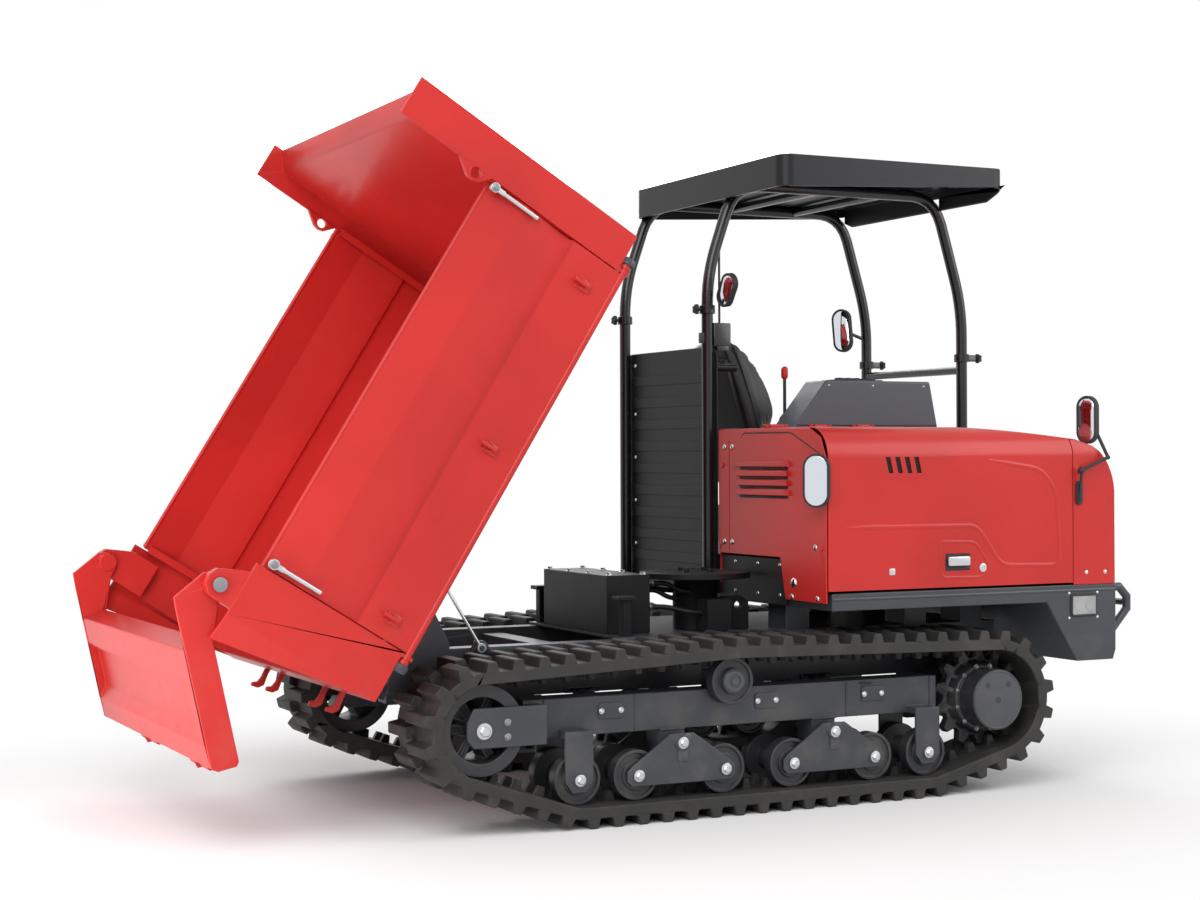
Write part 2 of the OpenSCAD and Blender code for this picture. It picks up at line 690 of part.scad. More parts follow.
module platform_skirt() color(DARK) machine() {
    bumper_low = 150;
    kink = bumper_kink;
    profile = [[wall_s, skirt_z], [kink, skirt_z], [kink + bumper_low, bumper_z], [bumper_front - 14, bumper_z],
        [bumper_front, bumper_z + 40], [bumper_front, floor_z], [wall_s, floor_z]];
    hollow = [[wall_s + skirt_t, skirt_z - 1], [kink + skirt_t, skirt_z - 1], [kink + bumper_low + skirt_t,
        bumper_z + skirt_t],
        [bumper_front - 14 - skirt_t, bumper_z + skirt_t], [bumper_front - skirt_t, bumper_z + 40],
        [bumper_front - skirt_t, floor_z - skirt_t], [wall_s + skirt_t, floor_z - skirt_t]];
    difference() {
        side_plate(profile, -platform_half_w, platform_half_w);
        side_plate(hollow, -platform_half_w + skirt_t, platform_half_w - skirt_t);
        for (way = [-1, 1]) translate([438, way * platform_half_w, 722]) lamp_body(4);
    }
    // Front guard: a loop at each side and the bar between them
    for (side = SIDES) for_side(side) translate([0, platform_half_w - 60, 0]) {
        bent_tube([[bumper_front - 1, 0, floor_z - guard_r - 2], [guard_s - 40 - guard_r, 0,
            floor_z - guard_r - 2],
            [guard_s - guard_r, 0, floor_z - 60], [guard_s - guard_r, 0, floor_z - 110],
            [bumper_front - 1, 0, floor_z - 225]], guard_r);
    }
    translate([guard_s - guard_r, 0, floor_z - 85]) ycyl(guard_r * 0.8, -platform_half_w + 60,
        platform_half_w - 60);
    // Seat box and toe board
    difference() {
        box([seat_rear_s - 60, seat_y - seat_w / 2 + 20, floor_z], [seat_front_s - 70,
            seat_y + seat_w / 2 - 20, seat_box_z]);
        box([seat_rear_s - 60 + skirt_t, seat_y - seat_w / 2 + 20 + skirt_t, floor_z - 1],
            [seat_front_s - 70 - skirt_t, seat_y + seat_w / 2 - 20 - skirt_t, seat_box_z - skirt_t]);
    }
    for (way = [-1, 1]) box([seat_rear_s - 40, seat_y + way * 150 - 18, seat_box_z],
        [seat_front_s - 90, seat_y + way * 150 + 18, runner_z]);
    box([front_post_x + tube_r + 6, right_post_y - tube_r, floor_z], [front_post_x + tube_r + 16,
        left_post_y, floor_z + 190]);
}

// Rounded lamp block; grow makes room for it in the skirt
module lamp_body(grow) {
    translate([0, 0, 0]) cube([118 + grow, 40 + grow, 76 + grow], center = true);
}

module work_lights() color(SILVER) machine() for (side = SIDES) for_side(side)
    translate([438, platform_half_w, 722]) union() {
        box([-61, -22, -40], [61, -skirt_t + 2, 40]);
        translate([0, -4, 0]) cube([116, 24, 74], center = true);
        for (k = [-1, 1]) translate([k * 27, 7, 0]) ycyl(22, 0, 4);
    }

module rear_guard() color(BLACK) machine() {
    face = -platform_back - 12;
    y0 = right_post_y - tube_r - 4;
    flare_z = floor_z + 260;
    ribs = 9;
    step = (guard_top - floor_z - 120) / ribs;
    difference() {
        union() {
            end_plate([[y0, skirt_z + 3], [868, skirt_z + 3], [868, flare_z - 60],
                [left_post_y + tube_r + 2, flare_z],
                [left_post_y + tube_r + 2, guard_top - 30], [left_post_y + tube_r - 28, guard_top],
                    [y0 + 30, guard_top],
                [y0, guard_top - 30]], face, face + 8);
            for (i = [0:ribs - 1]) box([face - 5, right_post_y + tube_r + 8, floor_z + 90 + i * step - 22],
                [face + 14, left_post_y - tube_r - 8, floor_z + 90 + i * step + 22]);
            // Black plate below the louvre panel
            box([face, -518, skirt_z + 3], [face + 8, y0, floor_z + 120]);
            for (y = [-300, 400]) box([face + 8, y - 30, skirt_z + 8], [wall_s, y + 30, floor_z - 6]);
        }
        // Room for the post feet and the hood's inner wall
        for (y = [right_post_y, left_post_y]) box([face - 6, y - 15, floor_z - 47], [face + 15, y + 15,
            floor_z - 7]);
        box([face - 1, -9, floor_z - 1], [face + 9, 0, floor_z + 121]);
    }
    // Hand grip
    tube([face + 4, right_post_y, 1705], [face + 104, right_post_y, 1705], 16);
    translate([face + 104, right_post_y, 1705]) sphere(r = 16.4);
}

// Tube that runs up the rear post, along the roof and down the front post
module canopy_side(y) {
    low = [post_back_s, floor_z - 46];
    knee = [post_back_s, knee_z];
    rear = [rear_top_s, top_rail_z];
    front = [front_top_s, top_rail_z];
    shin = [front_post_x, front_knee_z];
    foot = [front_post_x, floor_z];
    path = concat([low, knee, rear], bend(rear, front, shin, 160, 2), [shin, foot]);
    bent_tube([for (p = path) [p.x, y, p.y]], tube_r);
    box([post_back_s, y - 14, floor_z - 46], [wall_s, y + 14, floor_z - 8]);
    translate([front_post_x, y, floor_z]) cylinder(h = 12, r = tube_r + 5);
    translate([post_back_s, y, 1929]) cylinder(h = 36, r = tube_r + 9);
    translate([front_post_x, y, 1749]) cylinder(h = 36, r = tube_r + 9);
    box([front_post_x, y - 12, 1752], [front_post_x + tube_r + 46, y + 12, 1782]);
}

module canopy_frame() color(BLACK) machine() {
    for (y = [right_post_y, left_post_y]) canopy_side(y);
    tube([front_post_x, right_post_y, handrail_z], [front_post_x, left_post_y, handrail_z], tube_r * 0.75);
    for (s = [rear_top_s + 110, -245, 85]) tube([s, right_post_y, top_rail_z], [s, left_post_y,
        top_rail_z], tube_r * 0.75);
    // Lamp box, its stay and the mirror boss on the rear right post
    box([post_back_s + tube_r - 6, right_post_y - 26, guard_top + 3], [post_back_s + tube_r + 76,
        right_post_y + 30, 1892]);
    box([wall_s - 2.5, right_post_y - 22, 1775], [post_back_s + tube_r + 68, right_post_y + 24, guard_top + 10]);
    box([post_back_s - tube_r - 12, right_post_y - 12, 1806], [post_back_s, right_post_y + 12, 1850]);
    tube([post_back_s + 58, right_post_y, 1880], [post_back_s + 58, right_post_y, 2222], 5);
    ball_arm([post_back_s + 58, right_post_y, 2008], rear_post_ball, 6);
    ball_arm([front_post_x, left_post_y, 1886], front_left_ball, 8);
}

// Slab with rounded corners in plan
module round_slab(x0, x1, y0, y1, z0, z1, r) {
    box([x0 + r, y0, z0], [x1 - r, y1, z1]);
    box([x0, y0 + r, z0], [x1, y1 - r, z1]);
    for (x = [x0 + r, x1 - r], y = [y0 + r, y1 - r]) translate([x, y, z0]) cylinder(h = z1 - z0, r = r);
}

// Tray open below, its side walls shallower towards the front
module canopy_roof() color(BLACK) machine() {
    corner = 55;
    wall = 12;
    rise = 50;
    difference() {
        round_slab(roof_rear, roof_front, roof_right, roof_left, roof_z, roof_top, corner);
        round_slab(roof_rear + wall, roof_front - wall, roof_right + wall, roof_left - wall,
            roof_z - 1, roof_top - roof_skin, 24);
        // Notches for the front posts
        for (y = [right_post_y, left_post_y]) box([roof_front - 40, y - tube_r - 1.5, roof_z - 1],
            [roof_front + 1, y + tube_r + 1.5, roof_z + 54]);
        for (y = [roof_right - 1, roof_left - wall - 1]) side_plate([[roof_rear + 60, roof_z - 1],
            [roof_front - 50, roof_z - 1], [roof_front - 50, roof_z + rise - 2], [roof_rear + 60,
                roof_z - 0.5]], y, y + wall + 2);
        end_plate([[roof_right - 1, roof_z - 1], [roof_right + 130, roof_z - 1], [roof_right + 62, roof_z + 24],
            [roof_right - 1, roof_z + rise]], roof_front - 56, roof_front + 1);
        end_plate([[roof_left + 1, roof_z - 1], [roof_left + 1, roof_z + rise], [roof_left - 62, roof_z + 24],
            [roof_left - 130, roof_z - 1]], roof_front - 56, roof_front + 1);
    }
}

module louvre_panel() color(RED) machine() {
    top = hood_top - 4;
    left = -8;
    step_y = -495;
    low = floor_z + 126;
    end_plate([[-hood_right + 2, skirt_z + 30], [step_y - 40, skirt_z + 30], [step_y, low], [left, low],
        [left, top], [-hood_right + shoulder_r, top], [-hood_right + shoulder_r * 0.35, top - shoulder_r * 0.3],
        [-hood_right + 2, top - shoulder_r]], bay_s, bay_s + 6);
    for (i = [0:3]) translate([bay_s, 0, 1176 + i * 38]) end_plate([[-570, 0], [-172, 0], [-182, 22],
        [-560, 22]], -14, 0);
    // Mirror bracket
    box([bay_s - 22, -795, 1232], [bay_s, -735, 1262]);
    ball_arm([bay_s - 14, -765, 1247], rear_right_ball, 8);
    for (y = [-800, -40], z = [skirt_z + 240, hood_top - 150]) translate([bay_s, y, z]) xcyl(11, -6, 0);
    box([bay_s + 6, -600, skirt_z + 34], [wall_s, -560, floor_z - 6]);
}

// Height of the hood's top line along the machine
function top_line(s, d) = s < hood_slope_s ? hood_top - d
    : hood_top - d - hood_front_drop * pow((s - hood_slope_s) / (seam_x - hood_slope_s), 1.4);

// Side view of hood and nose, drawn in by d
function hood_side(d) = concat(
    [[bay_s - 40, hood_z - 40], [bay_s - 40, hood_top - d]],
    [for (k = [0:6]) let (s = hood_slope_s + (seam_x + 30 - hood_slope_s) * k / 6) [s, top_line(s, d)]],
    [for (k = [0:8]) let (a = 62 - 58 * k / 8, c = [nose_x - d - 200, hood_top - hood_front_drop - 230])
        [c.x + 200 * cos(a), c.y + (226 - d) * sin(a)]],
    [[nose_x - d, hood_z - 40]]);

// End view of the hood: right wall, shoulder and top, drawn in by d
function hood_end(d) = concat([[60, hood_top + 60], [60, hood_z - 40], [-hood_right + d, hood_z - 40]],
    [for (k = [0:8]) let (a = 180 - 90 * k / 8, r = shoulder_r - d)
        [-hood_right + shoulder_r + r * cos(a), hood_top - shoulder_r + r * sin(a)]]);

// Solid of hood and nose between two stations, drawn in by d
module hood_form(d, s0, s1, y1, z0) {
    intersection() {
        side_plate(hood_side(d), -hood_right - 1, y1);
        end_plate(hood_end(d), s0, s1);
        box([s0, -hood_right - 1, z0], [s1, y1, hood_top + 1]);
    }
}

module hood() color(RED) machine() {
    s0 = bay_s + 6 + panel_gap;
    s1 = seam_x - panel_gap;
    difference() {
        hood_form(0, s0, s1, hinge_line_y - panel_gap, hood_z);
        hood_form(hood_t, s0 - 1, s1 + 1, hinge_line_y + 1, hood_z - 1);
        // Slanted vent slots
        for (i = [0:3]) side_plate([[-523 + i * 44, 1327], [-501 + i * 44, 1327], [-486 + i * 44, 1264],
            [-508 + i * 44, 1264]], -hood_right - 1, -hood_right + 40);
        // Latch recess
        box([-244, -hood_right - 1, 880], [-128, -hood_right + hood_t + 1, 946]);
    }
    // Hinge knuckles on top of the inner edge
    for (s = [-640, -425, -212]) translate([s, hinge_line_y, hood_top + hinge_rise]) difference() {
        union() {
            xcyl(9, 0, 60);
            box([0, -34, -hinge_rise - 2], [60, -panel_gap - 1, -5]);
            box([0, -34, 1 - hinge_rise], [60, 0, -5]);
        }
        xcyl(4 + run_gap, -1, 61);
    }
}

module hood_latch() color(BLACK) machine() {
    y = -hood_right;
    box([-244 + run_gap, y, 880 + run_gap], [-128 - run_gap, y + hood_t, 946 - run_gap]);
    box([-214, y - 8, 900], [-158, y, 926]);
    box([-240, y + hood_t, 932], [-132, y + hood_t + 9, 938]);
}

module nose_cowl() color(RED) machine() {
    left = -2;
    s1 = nose_x + 1;
    difference() {
        hood_form(0, seam_x, s1, left, floor_z);
        hood_form(hood_t, seam_x - 1, s1, left - hood_t, floor_z - 1);
    }
    // Fixed strip and wall on the left of the engine bay
    difference() {
        hood_form(0, bay_s + 6 + panel_gap, seam_x + 1, left, floor_z);
        hood_form(hood_t, bay_s, seam_x + 2, left - hood_t, floor_z - 1);
        box([bay_s, -hood_right - 1, floor_z - 1], [seam_x, hinge_line_y, hood_top + 1]);
    }
    // Hinge pins for the hood
    reach = console_y0 - 2 - hinge_line_y;
    for (s = [-640, -425, -212]) translate([s, hinge_line_y, hood_top + hinge_rise]) {
        xcyl(4, -24, 84);
        for (x = [-24, 70]) {
            box([x, -6, -6], [x + 14, reach, 8]);
            box([x, 2, -hinge_rise - 2], [x + 14, reach, -2]);
        }
    }
    // Mirror boss on the nose
    ball_arm([seam_x + 20, -hood_right + 4, 1262], front_right_ball, 9);
}

module console() color(DARK) machine() {
    rear = -520;
    front = 215;
    side_plate([[rear, console_z], [front, console_z], [front - 42, console_top], [rear + 168, console_top]],
        console_y0, console_y1);
    for (s = [-426, -150]) box([s - 30, console_y1, lever_z - 25], [s + 30, console_y1 + 26, lever_z + 25]);
    for (s = [-426, -150]) translate([s, 0, lever_z]) ycyl(8, console_y1 + 20, console_y1 + 70);
}

// Hand lever on a bored boss, with a knob
module lever(s, height, knob, tall) {
    y0 = console_y1 + 30;
    translate([s, 0, lever_z]) {
        difference() {
            ycyl(18, y0, y0 + 34);
            ycyl(8 + run_gap, y0 - 1, y0 + 35);
        }
        translate([0, y0 + 17, 14]) cylinder(h = height - 30, r = 7);
        translate([0, y0 + 17, height - 16]) sphere(r = knob);
        if (tall > 0) translate([0, y0 + 17, height - 16]) cylinder(h = tall, r = knob - 0.4);
        if (tall > 0) translate([0, y0 + 17, height - 16 + tall]) sphere(r = knob);
    }
}

module dump_lever() color(RED) machine() lever(-426, 203, 14, 27);

module travel_lever() color(BLACK) machine() lever(-150, 150, 22, 0);

module engine() color(DARK) machine() {
    base = floor_z;
    box([-560, -690, base], [250, -180, base + 60]);
    box([-460, -620, base + 60], [60, -260, base + 400]);
    box([-430, -560, base + 400], [20, -320, base + 480]);
    translate([0, -440, base + 230]) {
        xcyl(150, 60, 90);
        xcyl(40, 90, 130);
        for (i = [0:5]) rotate([i * 60, 0, 0]) box([100, -28, 30], [116, 28, 190]);
    }
    box([190, -690, base + 60], [250, -180, base + 460]);
    translate([-380, -690, base + 330]) xcyl(70, -120, 320);
    box([-300, -640, base + 300], [-240, -618, base + 360]);
}

module hydraulic_unit() color(BLACK) machine() {
    base = deck_top;
    box([-1455, -290, base], [-1265, 300, 868]);
    difference() {
        translate([-1020, -210, 846]) cylinder(h = 24, r = 222);
        box([wall_s - 46, -600, 840], [-600, 300, 880]);
    }
    translate([-1020, -210, base]) cylinder(h = 846 - base, r = 90);
    box([-1078, -420, base], [-970, -330, base + 130]);
    difference() {
        side_plate([[-956, base], [-836, base], [-836, base + 110], [-870, base + 134], [-956,
            base + 134]], -322, -302);
        translate([-886, 0, base + 96]) ycyl(16, -330, -290);
    }
    for (i = [0:3]) translate([-1020 + 70 * cos(i * 90 + 30), -210 + 70 * sin(i * 90 + 30),
        870]) cylinder(h = 14, r = 13);
    // Rests under the rails of the lowered bed
    for (side = SIDES) for_side(side) {
        box([-1444, bed_rail_in + 20, base], [-1404, bed_rail_out - 10, rest_z - 16]);
        box([-1464, bed_rail_in + 2, rest_z - 16], [-1384, bed_rail_out, rest_z]);
    }
}

// Outer face of a drop side as [distance out, height], from its foot to its top
gate_face = [[0, hinge_v + 8], [0, 268], [-18, 276], [-21, 312], [-2, gate_top - 158], [-2, gate_top - 150],
    [-28, gate_top]];

module side_gate(side) color(RED) on_bed() for_side(side) {
    outer = [for (p = gate_face) [bed_half_w + p.x, p.y]];
    inner = [for (i = [len(gate_face) - 1:-1:0]) [bed_half_w + gate_face[i].x - gate_t, gate_face[i].y]];
    end_plate(concat(outer, inner), gate_u0, gate_u1);
    translate([0, hinge_y, hinge_v]) {
        xcyl(hinge_rod_r, gate_u0 - 34, gate_u1 + 34);
        for (u = [gate_u0 - 42, gate_u1 + 26]) xcyl(hinge_rod_r + 4, u, u + 16);
    }
    // Rope hooks
    for (u = [gate_u0 + 74, gate_u0 + 759, gate_u0 + 1444]) {
        box([u - 20, bed_half_w - 1, 127], [u + 20, bed_half_w + 8, 185]);
        translate([u, bed_half_w + 6, 145]) ycyl(7, 0, 14);
        translate([u, bed_half_w + 20, 141]) cylinder(h = 62, r = 7);
    }
    // Latch pivots
    for (u = [gate_u0 + latch_in, gate_u1 - latch_in]) translate([u, bed_half_w - 37, gate_top - latch_drop])
        ycyl(7, 0, 57);
}

// Swinging latch lever with its rod handle
module gate_latch(end, side) color(SILVER) on_bed() for_side(side)
    translate([end == "rear" ? gate_u0 + latch_in : gate_u1 - latch_in, bed_half_w + face_gap,
        gate_top - latch_drop]) {
        difference() {
            union() {
                ycyl(18, 0, 16);
                box([-9, 2, -40], [9, 14, 0]);
            }
            ycyl(7 + run_gap, -1, 17);
        }
        translate([0, 8, -190]) cylinder(h = 160, r = 8);
    }

module bed() color(RED) on_bed() {
    w = bed_half_w;
    head_u = bed_front - 76;
    difference() {
        union() {
            box([-bed_rear, -bed_in, sill_top], [head_u, bed_in, floor_v]);
            // Rear sill and cross members
            box([-bed_rear, -bed_in, post_v], [-bed_rear + 12, bed_in, sill_top]);
            for (u = [-110, 300, 700, 1080]) box([u, -bed_in + 40, 82], [u + 50, bed_in - 40, sill_top]);
            box([head_u - 60, -bed_in, 90], [head_u, bed_in, sill_top]);
            // Headboard panel, sloped foot and folded top band
            side_plate([[head_u - 64, floor_v], [head_u, floor_v], [head_u + 8, floor_v], [head_u + 8,
                head_top - 94],
                [bed_front - 4, head_top - 44], [bed_front - 4, head_top - 36], [bed_front - 14, head_top - 36],
                [head_u, head_top - 90], [head_u, floor_v + 72]], -bed_in, bed_in);
            side_plate([[head_u, sill_top - 30], [head_u + 8, sill_top - 30], [head_u + 8, floor_v],
                [head_u, floor_v]],
                -bed_in, bed_in);
            for (y = [-560, -190, 190, 560]) box([head_u + 8, y - 20, post_v + 30], [bed_front - 8, y + 20,
                head_top - 110]);
            for (side = SIDES) for_side(side) {
                // Headboard side strip with the lashing eye
                side_plate([[strip_u, post_v], [bed_front, post_v], [bed_front, head_top], [strip_u,
                    head_top]], bed_in, w);
                side_plate([[strip_u, eye_v - 62], [strip_u, eye_v + 78], [eye_u - 24, eye_v + 24],
                    [eye_u - 30, eye_v],
                    [eye_u - 24, eye_v - 24]], w - lug_thick, w);
                // Rear post and its inward facet
                side_plate([[-bed_rear, post_v], [post_u, post_v], [post_u, post_top], [-bed_rear,
                    post_top]], bed_in, w);
                translate([-bed_rear, w, 0]) rotate([0, 0, 20]) side_plate([[0, post_v + 20], [0, post_top],
                    [-100, post_top], [-86, post_top - 90]], -8, 0);
                // Side sill under the floor edge
                box([-bed_rear, bed_in - 60, post_v], [head_u, bed_in - 18, sill_top]);
                box([-bed_rear, bed_in - 18, post_v], [post_u, bed_in, sill_top]);
                box([strip_u, bed_in - 18, post_v], [head_u, bed_in, sill_top]);
                // Tailgate hinge lug on the post
                side_plate([[-tail_back - 52, post_top - 120], [-tail_back + 90, post_top - 120],
                    [-tail_back + 90, post_top],
                    [-tail_back + 44, tail_v + 30], [-tail_back + 14, tail_v + 46], [-tail_back - 20,
                        tail_v + 42],
                    [-tail_back - 44, tail_v + 16], [-tail_back - 48, tail_v - 20]],
                        tail_half_w + face_gap, bed_in);
                // Drop side hinge lugs at both ends
                for (u = [gate_u0 - 20, gate_u1 + 6]) side_plate([[u, hinge_v - 22], [u + 14, hinge_v - 22],
                    [u + 14, sill_top], [u, sill_top]], bed_in - 24, w);
                // Bed rails
                side_plate([[-120, bed_rail_v], [990, bed_rail_v], [1040, 20], [1040, sill_top], [-160,
                    sill_top], [-160, 10]],
                    bed_rail_in, bed_rail_out);
            }
            // Lift ears and their cross member
            box([lift_eye_u - 70, -bed_rail_in, 20], [lift_eye_u + 70, bed_rail_in, sill_top]);
            for (way = [-1, 1]) side_plate([[lift_eye_u - 66, 24], [lift_eye_u - 66, -lift_eye_drop],
                [lift_eye_u - 34, -lift_eye_drop - 46],
                [lift_eye_u + 34, -lift_eye_drop - 46], [lift_eye_u + 66, -lift_eye_drop], [lift_eye_u + 66, 24]],
                way > 0 ? 30 : -48, way > 0 ? 48 : -30);
        }
        for (side = SIDES) for_side(side) {
            ycyl(pivot_pin_r + run_gap, bed_rail_in - 1, bed_rail_out + 1);
            translate([eye_u, 0, eye_v]) ycyl(eye_r, w - lug_thick - 1, w + 1);
            translate([-tail_back, 0, tail_v]) ycyl(tail_pin_r + run_gap, tail_half_w, w + 1);
            translate([0, hinge_y, hinge_v]) xcyl(hinge_rod_r + run_gap, gate_u0 - 30, gate_u1 + 30);
        }
        translate([lift_eye_u, 0, -lift_eye_drop]) ycyl(lift_pin_r + lift_slack, -60, 60);
        translate([hook_shaft_u, 0, hook_shaft_v]) ycyl(10 + run_gap, -500, 500);
    }
    // Bearing blocks of the hook shaft
    for (y = [-tail_tab_y, tail_tab_y]) difference() {
        box([hook_shaft_u - 18, y - 30, hook_shaft_v - 18], [hook_shaft_u + 18, y + 30, post_v + 40]);
        translate([hook_shaft_u, 0, hook_shaft_v]) ycyl(10 + run_gap, y - 31, y + 31);
    }
}

// Cross shaft with two pairs of claws that hold the tailgate's pins
module tailgate_hooks() color(RED) on_bed() translate([hook_shaft_u, 0, hook_shaft_v]) {
    ycyl(10, -tail_tab_y - hook_pair - 20, tail_tab_y + hook_pair + 20);
    for (y = [-tail_tab_y, tail_tab_y], k = [-1, 1]) side_plate([[14, 6], [-36, 6], [-62, 4], [-84, 8], [-96, 26],
        [-110, 22], [-104, -6], [-84, -22], [-40, -14], [14, -14]], y + k * hook_pair - 8, y + k * hook_pair + 8);
}

module tailgate() color(RED) on_tailgate() {
    f = -tail_front;
    b = -tail_front - tail_depth;
    // Pressed plate: upper fold, recessed middle, lower fold
    side_plate([[b + 4, -190], [b, -200], [b, -290], [b + 34, -330], [b + 34, -470], [b, -520], [b, -tail_len],
        [b + 8, -tail_len], [b + 8, -524], [b + 42, -474], [b + 42, -326], [b + 8, -286], [b + 8, -196],
            [f, -190], [f, -182]],
        -tail_in, tail_in);
    side_plate([[b + 8, -tail_len], [f, -tail_len], [f, -tail_len + 10], [b + 8, -tail_len + 10]],
        -tail_in, tail_in);
    side_plate([[f - 8, -tail_len], [f, -tail_len], [f, -182], [f - 8, -182]], -tail_in, tail_in);
    for (side = SIDES) for_side(side) {
        // Arm from hinge to plate
        side_plate([[30, 22], [8, 40], [-30, 46], [b, -10], [b - 2, -60], [b, -tail_len], [b + 20,
            -tail_len - 14],
            [f - 10, -tail_len - 14], [f, -tail_len], [f, -190], [0, -60], [30, -28]], tail_in, tail_half_w);
        ycyl(tail_pin_r, tail_in, bed_half_w - 4);
        ycyl(34, tail_in - 6, tail_in);
        // Tab and cross pin for the hooks
        translate([0, tail_tab_y, 0]) {
            side_plate([[f - 60, -tail_len], [f, -tail_len], [f - 6, -tail_pin_drop - 12], [f - 40,
                -tail_pin_drop - 12]], -7, 7);
            translate([f - 23, 0, -tail_pin_drop]) ycyl(10, -hook_pair - 24, hook_pair + 24);
        }
    }
}

// Frame of the lift cylinder: base pin, +X towards the rod eye
module on_lift() {
    machine() translate([lift_base.x, 0, lift_base.y]) rotate([0, -lift_angle, 0]) children();
}

module lift_barrel() color(DARK) on_lift() difference() {
    union() {
        ycyl(36, -30, 30);
        xcyl(27, 0, 60);
        xcyl(barrel_r, 49, barrel_len);
        xcyl(barrel_r + 6, barrel_len - 40, barrel_len);
    }
    ycyl(lift_pin_r + run_gap, -31, 31);
    xcyl(rod_r + run_gap, 64, barrel_len + 1);
}

module lift_rod() color(STEEL) on_lift() {
    xcyl(rod_r, lift_len - rod_len, lift_len - 20);
    translate([lift_len, 0, 0]) {
        ycyl(34, -22, 22);
        ycyl(lift_pin_r, -54, 54);
    }
}

// Thin prop on a swivel, leaning up to the raised bed
module bed_prop() color(STEEL) machine() translate([pivot_s + 271, -rail_out - 14, deck_z]) difference() {
    union() {
        ycyl(18, -22, -face_gap);
        rotate([0, -31, 0]) translate([0, -12, 14]) cylinder(h = 276, r = 6);
    }
    ycyl(9 + run_gap, -30, 1);
}

// Oval mirror head behind its ball: back shell, facing the rear
module mirror_head(w, h) {
    translate([-8, 0, 0]) rotate([0, -90, 0]) {
        translate([(h - w) / 2, 0, 0]) cylinder(h = 22, r = w / 2);
        translate([-(h - w) / 2, 0, 0]) cylinder(h = 22, r = w / 2);
        translate([-(h - w) / 2, -w / 2, 0]) cube([h - w, w, 22]);
    }
    sphere(r = mirror_ball);
}

module mirror_rear_right() color(BLACK) machine() translate(rear_right_ball) rotate([0, 0,
    40]) mirror_head(104, 204);

module mirror_front_right() color(BLACK) machine() translate(front_right_ball) {
    rotate([0, 0, 180]) sphere(r = mirror_ball);
    tube([0, 0, 0], [132, -6, 52], 7);
    translate([132, -6, 52]) rotate([0, 0, -90]) sphere(r = 9);
    tube([132, -6, 52], [100, 62, 206], 7);
    translate([100, 62, 206]) rotate([0, 0, 14]) mirror_head(96, 196);
}

module mirror_rear_post() color(BLACK) machine() translate(rear_post_ball) {
    sphere(r = mirror_ball);
    translate([2, -38, 10]) rotate([35, 0, 0]) rotate([0, 0, 12]) mirror_head(84, 150);
}

module mirror_front_left() color(BLACK) machine() translate(front_left_ball) rotate([-8, 0, 0]) rotate([0, 0, 28])
    mirror_head(96, 206);

// Plane of the backrest's rear face at height z
function back_s(z) = seat_rear_s - (z - seat_z + 96) * tan(seat_lean);

module seat_pan() color(BLACK) machine() {
    y0 = seat_y - seat_w / 2 + 10;
    y1 = seat_y + seat_w / 2 - 10;
    box([seat_rear_s + 10, y0, runner_z + face_gap / 2], [seat_front_s - 60, y1, seat_z - 125]);
    side_plate([[seat_rear_s + 10, runner_z + 10], [seat_rear_s + 60, runner_z + 10], [seat_rear_s + 10,
        seat_z - 125],
        [back_s(seat_z - 96) - 0.5, seat_z - 96], [back_s(seat_back_z - 110) - 0.5, seat_back_z - 110],
        [back_s(seat_back_z - 110) - 20, seat_back_z - 110], [back_s(seat_z - 96) - 24, seat_z - 110]],
            y0 + 60, y1 - 60);
    for (way = [-1, 1]) for (x = [seat_rear_s + 60, seat_front_s - 160])
        box([x, seat_y + way * 150 - 26, runner_z - 24], [x + 60, seat_y + way * 150 - 18 - run_gap,
            runner_z + face_gap / 2]);
}

// Height of a backrest's side wing along it, from its foot to its top
function wing(u) = u > 0.1 ? 1 - pow((u - 0.1) / 0.9, 1.5)
    : let (k = max(0, min(1, (u + 0.65) / 0.6))) k * k * (3 - 2 * k);

// Upper face of a pad: crown, rolled edge, side bolsters and stitched channels
function pad_height(u, v, h, crown, bolster, channels, winged) =
    h * (1 - 0.34 * pow(max(abs(u), abs(v)), 7)) + crown * (1 - u * u) * (1 - v * v)
    + bolster * exp(-pow((abs(v) - 0.78) / 0.16, 2)) * (winged ? wing(u) : 1 - pow(u, 6))
    - (abs(v) < 0.66 ? 7 : 0) * (len(channels) == 0 ? 0 : max([for (c = channels) exp(-pow((u - c) / 0.045,
        2))]));

